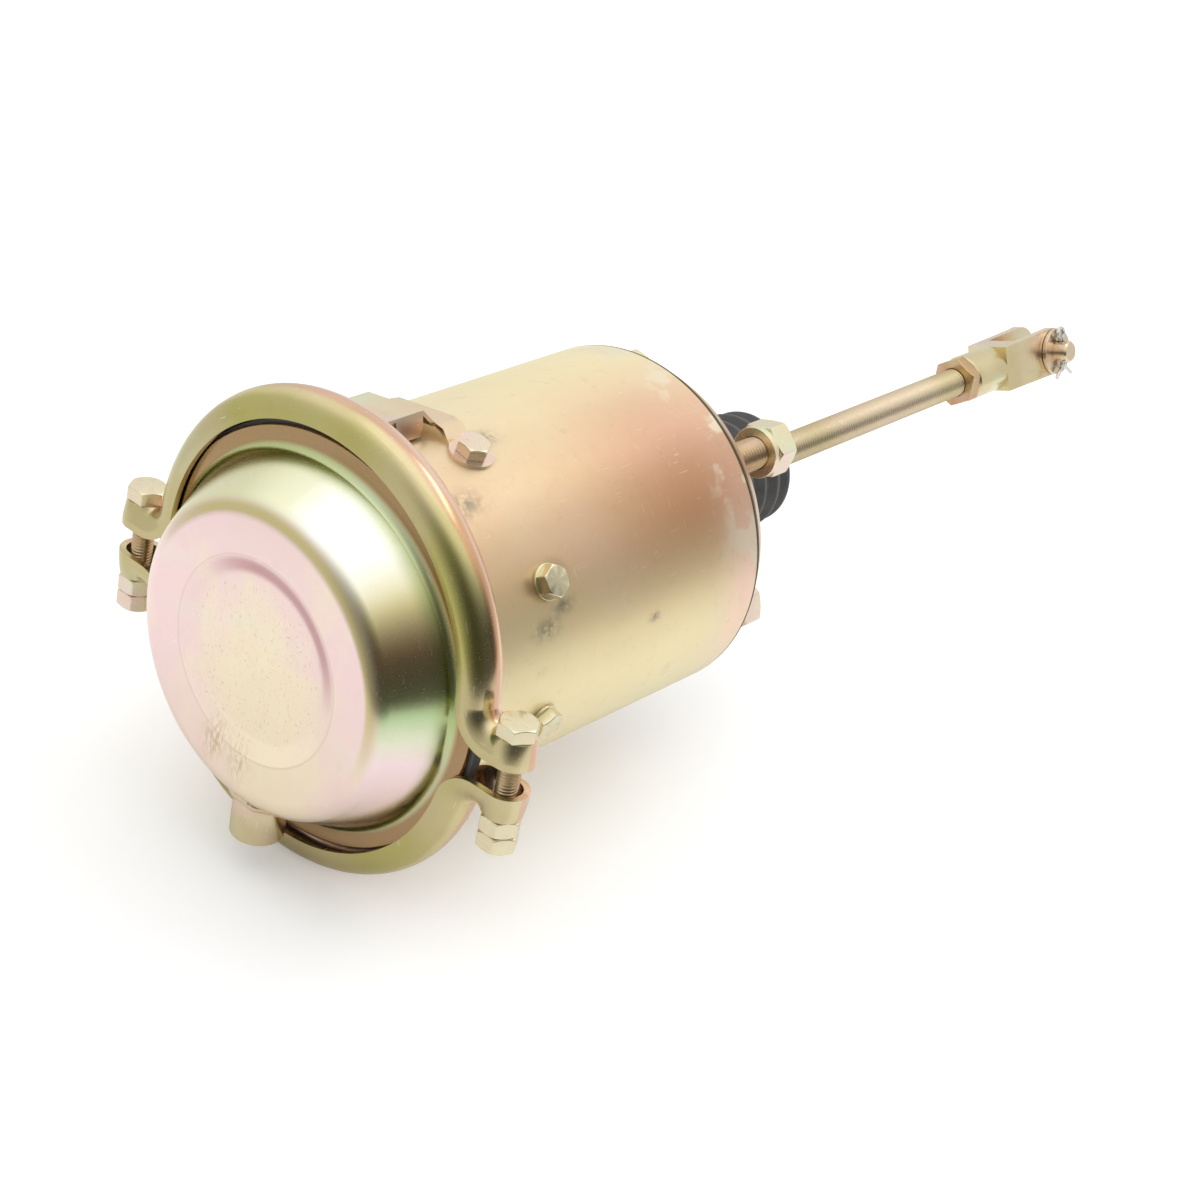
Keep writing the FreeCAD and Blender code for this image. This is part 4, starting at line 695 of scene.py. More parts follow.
rubber = rubber_material()
bright_steel = steel_material("bright_steel", (0.74, 0.73, 0.70), 0.28, 3)
inner_steel = steel_material("inner_steel", (0.28, 0.28, 0.29), 0.5, 4)
bush_plastic = plastic_material()
print("other finishes:", rubber.name, bright_steel.name, inner_steel.name, bush_plastic.name)

# %% [markdown]
# The housing is a deep drawn cup. Its outline is turned about the rod, with a fillet wherever the real
# sheet bends. Around each radial screw the sheet is pressed flat so that the washer can sit, and the
# points near a screw are moved in to make that soft dimple.

# %% Seats for the radial screws
SCREW_COUNT = 8
FIRST_FROM_TOP = 12.8
FIRST_SCREW = math.radians(90 + FIRST_FROM_TOP)
SEAT_HEIGHT = 82.3 * mm


def eased(share):
    """0 to 1 with a soft start and a soft end."""
    share = min(max(share, 0), 1)
    return share * share * (3 - 2 * share)


def screw_dimples(piece):
    """Presses the sheet flat around each radial screw, with a soft edge."""
    flat, soft = 8.6 * mm, 15 * mm
    for vertex in piece.data.vertices:
        x, y, z = vertex.co
        radius = math.hypot(y, z)
        if abs(x - SCREW_X) > soft or radius < HOUSING_RADIUS - 0.2 * mm:
            continue
        pitch = 2 * math.pi / SCREW_COUNT
        angle = math.atan2(z, y)
        aside = (angle - FIRST_SCREW + pitch / 2) % pitch - pitch / 2
        reach = math.hypot(x - SCREW_X, radius * math.sin(aside))
        pressed = min(radius, SEAT_HEIGHT / math.cos(aside))
        new = pressed + (radius - pressed) * eased((reach - flat) / (soft - flat))
        vertex.co = (x, y * new / radius, z * new / radius)


print("screw seats are", round(SEAT_HEIGHT, 4), "m from the rod's axis")

# %% Housing
BEVEL_START = -12.5 * mm
REAR_FACE_RADIUS = 74.8 * mm
SPIGOT_RADIUS = 19 * mm


def spread(start, end, step):
    """Evenly spaced places from start towards end, without the end."""
    count = max(1, round(abs(end - start) / step))
    return [start + (end - start) * k / count for k in range(count)]


flange_back = HOUSING_FRONT + SHEET
wall_start, wall_end = flange_back + 8 * mm, BEVEL_START - 6 * mm
outer = rounded([
    (HOUSING_FRONT, HOUSING_BORE), (HOUSING_FRONT, FLANGE_RADIUS, 0.6 * mm),
    (flange_back, FLANGE_RADIUS, 0.6 * mm), (flange_back, HOUSING_RADIUS, 3 * mm),
    (wall_start, HOUSING_RADIUS)])
dimple_start, dimple_end = SCREW_X - 16 * mm, SCREW_X + 16 * mm
rows = spread(wall_start, dimple_start, 6 * mm)
rows += spread(dimple_start, dimple_end, 1.2 * mm)
rows += spread(dimple_end, wall_end, 8 * mm)
tail = rounded([
    (wall_end, HOUSING_RADIUS), (BEVEL_START, HOUSING_RADIUS, 1.6 * mm),
    (0, REAR_FACE_RADIUS, 1.5 * mm), (0, SPIGOT_RADIUS + 0.05 * mm), (-SHEET, SPIGOT_RADIUS + 0.05 * mm),
    (-SHEET, REAR_FACE_RADIUS - 1.2 * mm, 1.5 * mm), (BEVEL_START, HOUSING_BORE, 1 * mm),
    (HOUSING_FRONT, HOUSING_BORE)])[:-1]
outline = np.concatenate([outer[:-1], [(x, HOUSING_RADIUS) for x in rows], tail])
housing = lathe("housing_shell", outline, around=384)
screw_dimples(housing)
install(even(housing), "chamber", housing_zinc, ["housing"])
print("housing has", len(housing.data.polygons), "faces")

# %% [markdown]
# The front cover is a shallow drawn dish. Its side flares out towards the flange, its corner is round, and
# a round recess stiffens its face. Its outline is short, and the fillets do the work. The port hole is cut
# with a Boolean, which is simplest where a round hole goes through a double curve.

# %% Front cover
PORT_RADIUS = 12 * mm
PORT_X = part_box("air_port")[1].x - PORT_RADIUS
PORT_BORE = 7.2 * mm
PORT_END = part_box("air_port")[0].z
COVER_CORNER = 11 * mm
COVER_BEND = 5 * mm
COVER_DRAFT = math.radians(25)
RECESS = 2 * mm
RECESS_RADIUS = 46 * mm
DRILL_TOP = -60 * mm
DRILL_END = -90 * mm
cover_flange = COVER_BACK - SHEET
cover_mouth = cover_flange - COVER_BEND * (1 - math.sin(COVER_DRAFT))


def cover_side(x, inset=0.0):
    """Radius of the dish's straight drafted side, outside or inset by the sheet."""
    return COVER_RADIUS + (x - cover_mouth) * math.tan(COVER_DRAFT) - inset / math.cos(COVER_DRAFT)


def port_circle(radius, height, around=48):
    """A flat ring of points about the port's axis."""
    angle = turns(around)
    return np.stack([PORT_X + radius * np.cos(angle), radius * np.sin(angle), np.full(around, height)], 1)


inner_face = FACE + SHEET
cover_outline = rounded([
    (FACE + RECESS, 0), (FACE + RECESS, 37 * mm, 14 * mm), (FACE, RECESS_RADIUS, 2 * mm),
    (FACE, cover_side(FACE), COVER_CORNER), (cover_flange, cover_side(cover_flange), COVER_BEND),
    (cover_flange, FLANGE_RADIUS, 0.7 * mm), (COVER_BACK, FLANGE_RADIUS, 0.7 * mm),
    (COVER_BACK, cover_side(COVER_BACK, SHEET), 2 * mm),
    (inner_face, cover_side(inner_face, SHEET), COVER_CORNER - SHEET),
    (inner_face, RECESS_RADIUS), (inner_face + RECESS, 38 * mm), (inner_face + RECESS, 0)], steps=14)
cover = lathe("front_cover_shell", cover_outline, around=256, closed=False)
drill = skin("drill", [port_circle(POLE, DRILL_TOP), port_circle(PORT_BORE, DRILL_TOP),
                       port_circle(PORT_BORE, DRILL_END), port_circle(POLE, DRILL_END)])
cut = cover.modifiers.new("port_hole", "BOOLEAN")
cut.object = drill
cut.operation = "DIFFERENCE"
cut.solver = "EXACT"
applied(cover)
bpy.data.objects.remove(drill)
install(even(cover), "chamber", cover_zinc, ["front_cover"])
print("cover has", len(cover.data.polygons), "faces, and its port is at", round(PORT_X, 4))

# %% [markdown]
# The air port is a short threaded boss, welded to the dish by hand. Its top follows the dish, so each
# point of the top ring is lifted to the height of the dish's surface there. The weld is a lumpy bead that
# runs round the same line.

# %% Height of the dish under a point
def dish_height(x, y):
    """Distance of the cover's outside from the rod's plane, under a point beside the rod."""
    corner_end = FACE + COVER_CORNER * (1 - math.sin(COVER_DRAFT))
    radius = cover_side(max(x, corner_end))
    if x < corner_end:
        bulge = math.sqrt(COVER_CORNER ** 2 - (FACE + COVER_CORNER - x) ** 2)
        radius += bulge - COVER_CORNER * math.cos(COVER_DRAFT)
    return math.sqrt(radius ** 2 - y ** 2)


print("dish reaches", round(dish_height(PORT_X, 0), 4), "at the port")

# %% Air port
BOSS_DEPTH = 1.5 * mm
BOSS_SHOULDER = -85 * mm
BOSS_THREAD_TOP = -79.5 * mm
BOSS_CHAMFER = 1 * mm


def port_ring(radius, height, around=96):
    """A ring about the port's axis. Height None puts it just inside the dish's surface."""
    points = []
    for k in range(around):
        x = PORT_X + radius * math.cos(2 * math.pi * k / around)
        y = radius * math.sin(2 * math.pi * k / around)
        points.append((x, y, -(dish_height(x, y) - BOSS_DEPTH) if height is None else height))
    return points


def inner_thread(start, end, radius, pitch, depth, around=96):
    """Rows of a thread cut into the bore."""
    rows = []
    for height in np.arange(start, end, pitch / 5):
        points = []
        for k in range(around):
            turn = k / around
            phase = (height / pitch + turn) % 1
            cut = radius + depth * (1 - abs(2 * phase - 1))
            angle = 2 * math.pi * turn
            points.append((PORT_X + cut * math.cos(angle), cut * math.sin(angle), height))
        rows.append(points)
    return rows


boss_rows = [port_ring(PORT_RADIUS, None)]
boss_rows += [port_ring(PORT_RADIUS - trim, height) for trim, height in (
    (0, BOSS_SHOULDER), (0, PORT_END + 0.6 * mm), (0.2 * mm, PORT_END + 0.2 * mm), (0.6 * mm, PORT_END))]
boss_rows += [port_ring(PORT_BORE + BOSS_CHAMFER, PORT_END)]
boss_rows += inner_thread(PORT_END + BOSS_CHAMFER, BOSS_THREAD_TOP, PORT_BORE, 1.5 * mm, 0.45 * mm)
boss_rows += [port_ring(PORT_BORE, None)]
boss = skin("air_port_boss", boss_rows, loop_rows=True)
install(even(boss), "chamber", clevis_zinc, ["air_port"])
print("port boss has", len(boss.data.polygons), "faces")

# %% Weld of the air port
def weld_bead():
    """A lumpy tube round the foot of the boss."""
    around, section = 160, 12
    rows = []
    for k in range(around):
        angle = 2 * math.pi * k / around
        out = Vector((math.cos(angle), math.sin(angle), 0))
        x, y = PORT_X + PORT_RADIUS * out.x, PORT_RADIUS * out.y
        centre = Vector((x, y, -dish_height(x, y)))
        lump = noise.noise(Vector((math.cos(angle) * 3, math.sin(angle) * 3, 1.7)))
        scale = noise.noise(Vector((math.cos(angle) * 9, math.sin(angle) * 9, 5.2)))
        radius = (1.9 + 0.7 * lump + 0.45 * scale) * mm
        rows.append([centre + (out * math.cos(a) + Vector((0, 0, 1)) * math.sin(a)) * radius
                     for a in turns(section)])
    return skin("port_weld", rows, loop_rows=True)


weld = install(weld_bead(), "chamber", clevis_zinc)
print("weld has", len(weld.data.polygons), "faces")

# %% [markdown]
# Each clamp half is a strip rolled into a half-round channel, bent to a half ring, and turned out at both
# ends into an ear for the bolt. A section that slides along a path would do the ring. The rounded ear end
# needs the section to swing round the bolt, so the rows are worked out here one by one: first along the
# path, then round the bolt. Solidify gives the sheet its thickness, and a bevel gives the lips their
# bright edge.

# %% Path of the clamp
CLAMP_RADIUS = 88.5 * mm
CHANNEL = 10 * mm
LEG = 2.5 * mm
EAR_BEND = 16 * mm
BOLT_Y = 111.8 * mm
SEAT = 8.5 * mm


def channel_section(count=24):
    """Points (aside, height) over the channel's back, from one lip to the other."""
    arch = [(CHANNEL * math.cos(a), CHANNEL * math.sin(a)) for a in np.linspace(0, math.pi, count + 1)]
    return [(CHANNEL, -LEG)] + arch + [(-CHANNEL, -LEG)]


def clamp_path(shift, ear_angle):
    """Places (y, z, lean) of the channel's middle line from the crown to the bolt."""
    places = []
    for a in np.linspace(math.pi / 2, ear_angle, 60):
        places.append((CLAMP_RADIUS * math.cos(a), shift + CLAMP_RADIUS * math.sin(a), a))
    ear_y = (CLAMP_RADIUS + EAR_BEND) * math.cos(ear_angle)
    bend_z = shift + (CLAMP_RADIUS + EAR_BEND) * math.sin(ear_angle)
    for a in np.linspace(ear_angle, math.pi / 2, 18)[1:]:
        places.append((ear_y - EAR_BEND * math.cos(a), bend_z - EAR_BEND * math.sin(a), a))
    for y in np.linspace(ear_y, BOLT_Y, 8)[1:]:
        places.append((y, bend_z - EAR_BEND, math.pi / 2))
    return places


print("clamp path has", len(clamp_path(0, 0)), "places a side")

# %% Clamp halves
def clamp_side(shift, ear_angle, section):
    """Rows from the crown to the bolt, then round it, for one side of a half."""
    rows = []
    for y, z, lean in clamp_path(shift, ear_angle):
        rows.append([(CLAMP_X + aside, y + height * math.cos(lean), z + height * math.sin(lean))
                     for aside, height in section])
    ear_z = rows[-1][len(section) // 2][2] - CHANNEL
    quarter = section[:len(section) // 2 + 1]
    fan = []
    for a in np.linspace(0, math.pi, 25):
        fan.append([(CLAMP_X + aside * math.cos(a), BOLT_Y + aside * math.sin(a), ear_z + height)
                    for aside, height in quarter])
    return rows, fan, ear_z


def flat_seat(piece, ear_z):
    """Raises the crown round the bolt to a flat round seat."""
    for vertex in piece.data.vertices:
        x, y, z = vertex.co
        reach = math.hypot(x - CLAMP_X, abs(y) - BOLT_Y)
        if reach < CHANNEL and z > ear_z:
            share = eased((reach - SEAT) / (CHANNEL - SEAT))
            vertex.co.z = ear_z + CHANNEL + (z - ear_z - CHANNEL) * share


def clamp_half(name, node, turn, shift, ear_angle):
    """One half. Its crown is moved out by shift, and its ears leave the ring at ear_angle."""
    section = channel_section()
    rows, fan, ear_z = clamp_side(shift, ear_angle, section)
    mirrored = [[(x, -y, z) for x, y, z in row] for row in rows]
    band = skin(name + "_band", list(reversed(mirrored))[:-1] + rows, loop_columns=False)
    ends = [skin(name + "_end", [[(x, side * y, z) for x, y, z in row] for row in fan], loop_columns=False)
            for side in (1, -1)]
    piece = joined(name, [band, *ends])
    whole = bmesh.new()
    whole.from_mesh(piece.data)
    bmesh.ops.remove_doubles(whole, verts=whole.verts, dist=1e-5)
    bmesh.ops.recalc_face_normals(whole, faces=whole.faces)
    crown = max(whole.verts, key=lambda v: v.co.z)
    if crown.normal.z < 0:
        bmesh.ops.reverse_faces(whole, faces=whole.faces)
    whole.to_mesh(piece.data)
    whole.free()
    flat_seat(piece, ear_z)
    if turn:
        turned_over(piece)
    thick = piece.modifiers.new("sheet", "SOLIDIFY")
    thick.thickness = SHEET
    thick.offset = -1
    thick.use_even_offset = True
    bevelled(piece, 0.9 * mm, 3)
    return install(piece, "chamber", clamp_zinc, [node])


upper = clamp_half("clamp_upper", "clamp_half_upper", False, 11.5 * mm, math.radians(4.0))
lower = clamp_half("clamp_lower", "clamp_half_lower", True, 9.2 * mm, math.radians(12.4))
print("clamp halves have", len(upper.data.polygons), "and", len(lower.data.polygons), "faces")

# %% [markdown]
# Hexagon heads and nuts are the same shape: a hexagon whose corners are turned down to a cone at the
# ends. Each is made as rings whose distance from the axis follows the hexagon. The standing edges then
# get a bevel. Threads are rows whose radius rises and falls as the row climbs, which gives a true helix.

# %% Hexagons
def hexagon(name, flats, height, bore=0.0, low_chamfer=True, around=72):
    """A hexagon head or nut that stands on the origin, along Z. A head has no chamfer at its foot."""
    angles = turns(around)
    edge = flats / 2 / np.cos((angles + math.pi / 6) % (math.pi / 3) - math.pi / 6)
    face = flats / 2 * 0.96
    fall = np.maximum(edge - face, 0) * math.tan(math.radians(30))

    def row(radius, level):
        radius = np.broadcast_to(radius, around)
        return np.stack([radius * np.cos(angles), radius * np.sin(angles), np.broadcast_to(level, around)], 1)

    inside = max(bore, POLE)
    rows = [row(inside, 0.0), row(face, 0.0), row(edge, fall if low_chamfer else 0.0),
            row(edge, height - fall), row(face, height), row(inside, height)]
    return bevelled(skin(name, rows, loop_rows=bore > 0), 0.25 * mm)


print("hexagons are ready")

# %% Threads and washers
TIP_LEAD = 1.2
TIP_SLOPE = 0.7


def threaded(name, length, radius, pitch, around=48, depth_share=0.55):
    """A threaded stud that stands on the origin, along Z. Its end is chamfered over TIP_LEAD pitches."""
    depth = pitch * depth_share
    angles = turns(around)
    rows = [[(0, 0, 0)] * around]
    for height in np.arange(0, length, pitch / 6):
        row = []
        for k, angle in enumerate(angles):
            phase = (height / pitch - k / around) % 1
            wave = min(1.0, 1.5 * abs(2 * phase - 1))
            end = max(0.0, height - (length - TIP_LEAD * pitch)) * TIP_SLOPE
            r = radius - depth * wave - end
            row.append((r * math.cos(angle), r * math.sin(angle), height))
        rows.append(row)
    tip = radius - depth - TIP_LEAD * pitch * TIP_SLOPE
    rows.append([(tip * math.cos(angle), tip * math.sin(angle), length) for angle in angles])
    rows.append([(0, 0, length)] * around)
    return skin(name, rows)


def washer(name, outer_radius, inner_radius, thickness, around=72):
    """A flat washer that stands on the origin, along Z."""
    angles = turns(around)
    rows = [np.stack([r * np.cos(angles), r * np.sin(angles), np.full(around, level)], 1)
            for r, level in ((inner_radius, 0), (outer_radius, 0), (outer_radius, thickness),
                             (inner_radius, thickness))]
    return bevelled(skin(name, rows, loop_rows=True), min(0.3 * mm, thickness / 4))


print("threads and washers are ready")

# %% Dashes on bolt heads
def head_marks(name, count, radius, height, length=2.4 * mm):
    """Short raised dashes, spread round the top of a bolt head."""
    marks = []
    for k in range(count):
        dash = bmesh.new()
        bmesh.ops.create_cube(dash, size=1)
        bmesh.ops.scale(dash, vec=(length, 0.45 * mm, 0.24 * mm), verts=dash.verts)
        bmesh.ops.translate(dash, vec=(radius, 0, height), verts=dash.verts)
        turn = Matrix.Rotation(2 * math.pi * k / count + 0.3, 3, "Z")
        bmesh.ops.rotate(dash, matrix=turn, verts=dash.verts)
        mesh = bpy.data.meshes.new(name)
        dash.to_mesh(mesh)
        dash.free()
        marks.append(bevelled(add_object(name + str(k), mesh), 0.08 * mm, 1))
    return marks


print("dashes are ready")

# %% [markdown]
# The fasteners sit in rings about the rod, which is work for Geometry Nodes: one fastener, copied to the
# points of a circle and turned to face out. Placing them by hand would also do, but the tree keeps the
# count, the height and the first angle as named inputs. It ends in real geometry, because the exporter
# doesn't keep instances.

# %% A ring of fasteners with Geometry Nodes
def ring_tree(name, material):
    """Copies its geometry around the rod: the fastener's foot goes to the given height, facing out."""
    tree = bpy.data.node_groups.new(name, "GeometryNodeTree")
    tree.is_modifier = True
    tree.interface.new_socket("Geometry", in_out="INPUT", socket_type="NodeSocketGeometry")
    sizes = {}
    for label in ("Along", "Height", "Count", "First angle", "Pitch"):
        kind = "NodeSocketInt" if label == "Count" else "NodeSocketFloat"
        sizes[label] = tree.interface.new_socket(label, in_out="INPUT", socket_type=kind).identifier
    tree.interface.new_socket("Geometry", in_out="OUTPUT", socket_type="NodeSocketGeometry")
    graph = Graph(tree)
    inlet = tree.nodes.new("NodeGroupInput")
    fastener, along, height, count, first, pitch = (Wire(inlet.outputs[i]) for i in range(6))
    line = graph.node("GeometryNodeMeshLine", None, {
        "Count": count, "Start Location": (0, 0, 0), "Offset": (0, 0, 0)})
    index = graph.node("GeometryNodeInputIndex")
    angle = first + index * pitch
    place = graph.node("ShaderNodeCombineXYZ", None, [along, -(angle.sine() * height),
                                                      angle.math("COSINE") * height])
    turn = graph.node("ShaderNodeCombineXYZ", None, [angle, 0.0, 0.0])
    placed = graph.node("GeometryNodeSetPosition", None, {"Geometry": line, "Position": place})
    copies = graph.node("GeometryNodeInstanceOnPoints", None, {
        "Points": placed, "Instance": fastener, "Rotation": turn})
    real = graph.node("GeometryNodeRealizeInstances", None, [copies])
    coated = graph.node("GeometryNodeSetMaterial", None, {"Geometry": real, "Material": material})
    graph.node("NodeGroupOutput", None, [coated])
    return tree, sizes


def fastener_ring(piece, material, along, height, count, first, pitch=None):
    """The finished ring as plain mesh. Angles are in degrees, from the top towards the camera's side."""
    tree, sizes = ring_tree(piece.name + "_ring", material)
    modifier = piece.modifiers.new("ring", "NODES")
    modifier.node_group = tree
    values = {"Along": along, "Height": height, "Count": count, "First angle": math.radians(first),
              "Pitch": math.radians(pitch or 360 / count)}
    for label, value in values.items():
        modifier[sizes[label]] = value
    return applied(piece)


print("ring tree is ready")

# %% [markdown]
# Eight screws hold the spring carrier inside the housing. Two of them also hold the hood by its eyes, so
# only six have a washer of their own.

# %% Radial screws and their washers
HEAD_SEAT = 83.9 * mm
HEAD_HEIGHT = 5.3 * mm
HOODED_SCREWS = 2
screw_body = hexagon("radial_screw_head", 13 * mm, HEAD_HEIGHT, low_chamfer=False)
shank = turned_over(threaded("radial_screw_shank", 18 * mm, 4 * mm, 1.25 * mm))
marks = head_marks("radial_screw_mark", 3, 3.6 * mm, HEAD_HEIGHT, 1.8 * mm)
screws = joined("radial_screws_finished", [screw_body, shank, *marks])
fastener_ring(screws, fastener_zinc, SCREW_X, HEAD_SEAT, SCREW_COUNT, FIRST_FROM_TOP)
install(screws, "chamber", fastener_zinc, ["radial_screws"])
flat_washers = washer("radial_washers_finished", 8 * mm, 4.5 * mm, 1.6 * mm)
pitch = 360 / SCREW_COUNT
fastener_ring(flat_washers, fastener_zinc, SCREW_X, SEAT_HEIGHT, SCREW_COUNT - HOODED_SCREWS,
              FIRST_FROM_TOP + pitch, pitch)
install(flat_washers, "chamber", fastener_zinc, ["radial_washers"])
print("radial screws have", len(screws.data.polygons), "faces")

# %% [markdown]
# Four studs stand on the rear face for the bracket. Each carries a nut and a spring washer near its end.
# They are made standing up, laid down along the rod, and copied round it by the same tree.

# %% Mounting studs, nuts and spring washers
STUD_CIRCLE = 60.3 * mm
STUD_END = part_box("mounting_studs")[1].x
STUD_HEAD_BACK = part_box("mounting_studs")[0].x
NUT_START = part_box("mounting_nuts")[0].x
upright = Matrix.Rotation(math.radians(90), 4, "Y")


def lying(piece):
    """Lays a fastener that was made along Z down along the rod."""
    piece.data.transform(upright)
    return piece


stud = lying(threaded("stud", STUD_END, 8 * mm, 2 * mm, around=64))
stud_head = moved(lying(hexagon("stud_head", 22 * mm, 6 * mm)), STUD_HEAD_BACK)
nut = moved(lying(hexagon("nut", 24 * mm, 13 * mm, bore=7.4 * mm)), NUT_START)
lock = moved(lying(washer("lock", 12.4 * mm, 8.1 * mm, 3.4 * mm)), NUT_START - 3.5 * mm)
for node, parts, material in (("mounting_studs", [stud, stud_head], thread_zinc),
                              ("mounting_nuts", [nut], fastener_zinc),
                              ("mounting_washers", [lock], fastener_zinc)):
    piece = joined(node + "_finished", parts)
    fastener_ring(piece, material, 0.0, STUD_CIRCLE, 4, -46, 90)
    install(piece, "chamber", material, [node])
print("studs reach", round(STUD_END, 4), "and nuts start at", round(NUT_START, 4))

# %% [markdown]
# A long bolt at each side pulls the clamp's ears together, with a nut and a lock nut below. The two sides
# are the same, so each fastener is made once on the middle plane and copied out to both.

# %% Clamp bolts and nuts
BOLT_HEAD = 6.4 * mm
UPPER_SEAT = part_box("clamp_bolts")[1].z - BOLT_HEAD
BOLT_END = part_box("clamp_bolts")[0].z


def both_ears(name, parts, node, material):
    """A fastener at each ear, from parts made at the middle of the ring."""
    made = []
    for piece in parts:
        plain = applied(piece)
        for side in (1, -1):
            copy = add_object(name + str(side), plain.data.copy())
            made.append(moved(copy, CLAMP_X, side * BOLT_Y))
        bpy.data.objects.remove(plain)
    return install(joined(name, made), "chamber", material, node)


bolt_head = moved(hexagon("clamp_bolt_head", 16 * mm, BOLT_HEAD, low_chamfer=False), z=UPPER_SEAT)
bolt_marks = [moved(mark, z=UPPER_SEAT) for mark in head_marks("clamp_bolt_mark", 3, 4.5 * mm, BOLT_HEAD)]
bolt_shank = turned_over(threaded("clamp_bolt_shank", UPPER_SEAT - BOLT_END, 5 * mm, 1.5 * mm))
moved(bolt_shank, z=UPPER_SEAT)
both_ears("clamp_bolt_heads", [bolt_head, *bolt_marks], [], fastener_zinc)
both_ears("clamp_bolt_shanks", [bolt_shank], ["clamp_bolts"], thread_zinc)
for node in ("clamp_nuts", "clamp_lock_nuts"):
    low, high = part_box(node)
    plain_nut = moved(hexagon(node + "_one", 16 * mm, high.z - low.z, bore=4.6 * mm), z=low.z)
    both_ears(node + "_finished", [plain_nut], [node], fastener_zinc)
print("clamp bolts run from", round(UPPER_SEAT, 4), "to", round(BOLT_END, 4))

# %% [markdown]
# The boot is a moulded rubber bellows. Its outline repeats one fold along the rod, with a crest that is
# nearly sharp and a rounded root, and ends in a neck that grips the rod.

# %% Boot
ROD_RADIUS = 8 * mm
BOOT_START, BOOT_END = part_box("boot")[0].x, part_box("boot")[1].x
BOOT_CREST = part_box("boot")[1].z
BOOT_ROOT = 26 * mm
BOOT_WALL = 2 * mm
FOLD = 10.5 * mm
FOLDS = 7
COLLAR_END = 16 * mm
NECK = 4.5 * mm
GRIP_RADIUS = ROD_RADIUS + 0.05 * mm


def boot_outline():
    """Outside from the collar to the neck, then inside on the way back."""
    start = BOOT_END - NECK - FOLDS * FOLD
    collar = SPIGOT_RADIUS + BOOT_WALL
    thinner = BOOT_WALL * 1.2
    outside = [(BOOT_START, SPIGOT_RADIUS), (BOOT_START, collar, 0.8 * mm), (COLLAR_END, collar, 1 * mm)]
    inside = [(COLLAR_END + 0.3 * mm, SPIGOT_RADIUS)]
    for k in range(FOLDS - 1):
        crest, low = start + (k + 0.5) * FOLD, start + (k + 1) * FOLD
        outside += [(crest, BOOT_CREST, 1.2 * mm), (low, BOOT_ROOT, 1.6 * mm)]
        inside += [(crest, BOOT_CREST - thinner, 0.5 * mm), (low, BOOT_ROOT - thinner, 0.5 * mm)]
    last = start + (FOLDS - 0.5) * FOLD
    outside += [(last, BOOT_CREST, 3 * mm), (BOOT_END - 2 * mm, 16 * mm, 3 * mm), (BOOT_END, 12 * mm, 1 * mm),
                (BOOT_END, GRIP_RADIUS)]
    inside += [(last, BOOT_CREST - thinner, 2 * mm), (BOOT_END - 4 * mm, GRIP_RADIUS)]
    return np.concatenate([rounded(outside), rounded(inside)[::-1]])


boot = lathe("boot_bellows", boot_outline(), around=128)
coat(boot, rubber)
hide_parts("boot")
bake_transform(boot)
print("boot runs from", round(BOOT_START, 4), "to", round(BOOT_END, 4))

# %% [markdown]
# The push rod is threaded over its whole length. The thread is a real helix, because its fine ridges
# catch the light all along the rod. The rod, its nuts, the clevis and the push plate move together.

# %% Push rod and jam nut
ROD_START, ROD_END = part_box("push_rod")[0].x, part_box("push_rod")[1].x
rod = threaded("push_rod_thread", ROD_END - ROD_START, ROD_RADIUS, 2 * mm, around=40, depth_share=0.35)
install(moved(lying(rod), ROD_START), "rod", rod_zinc, ["push_rod"])
install(softened("jam_nut", 0.35 * mm), "rod", copper_zinc, ["jam_nut"])
print("push rod has", len(rod.data.polygons), "faces")

# %% [markdown]
# The clevis and its pin, and the hood, are machined or folded pieces with flat faces. The frame's own
# shapes are right for them, and a copy with its edges broken catches the light as the real ones do.

# %% Clevis, pin, washer and cotter pin
install(softened("clevis", 0.6 * mm), "rod", clevis_zinc, ["clevis"])
install(softened("clevis_pin", 0.4 * mm), "pin", clevis_zinc, ["clevis_pin"])
install(softened("pin_washer", 0.3 * mm), "pin", clevis_zinc, ["pin_washer"])
coat(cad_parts["cotter_pin"], bright_steel)
print("clevis end is dressed")

# %% Hood
install(softened("vent_hood", 0.5 * mm), "chamber", hood_zinc, ["vent_hood"])
print("hood is dressed")

# %% [markdown]
# Inside, the diaphragm is a moulded rubber dish. It follows the push plate in the middle and the clamp at
# its rim, so it is blended between the two. The clamp squeezes its edge a little past the flanges, which
# closes the gap under the clamp's lips.

# %% Diaphragm
low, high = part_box("diaphragm")
WALL = 3.5 * mm
RIM_THICKNESS = 5.6 * mm
RIM_RADIUS = FLANGE_RADIUS + 1.8 * mm
crown, rim_front = low.x + WALL, high.x - RIM_THICKNESS
dome = rounded([
    (crown, 0), (crown, 55.5 * mm, 8 * mm), (high.x - 0.2 * mm, 73.5 * mm, 4 * mm),
    (high.x, RIM_RADIUS, 0.6 * mm), (rim_front, RIM_RADIUS, 0.6 * mm),
    (rim_front, 76.5 * mm, 4 * mm), (low.x, 58.5 * mm, 10 * mm), (low.x, 0)])
diaphragm = coat(lathe("diaphragm_dish", dome, around=160, closed=False), rubber)
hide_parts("diaphragm")
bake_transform(diaphragm)
print("diaphragm dish reaches", round(low.x, 4))

# %% [markdown]
# The return spring pushes the rod back. It is a round section swept along a spiral, which Geometry Nodes
# draw from four named sizes. The Screw tool would do as well, but keeps no inputs.

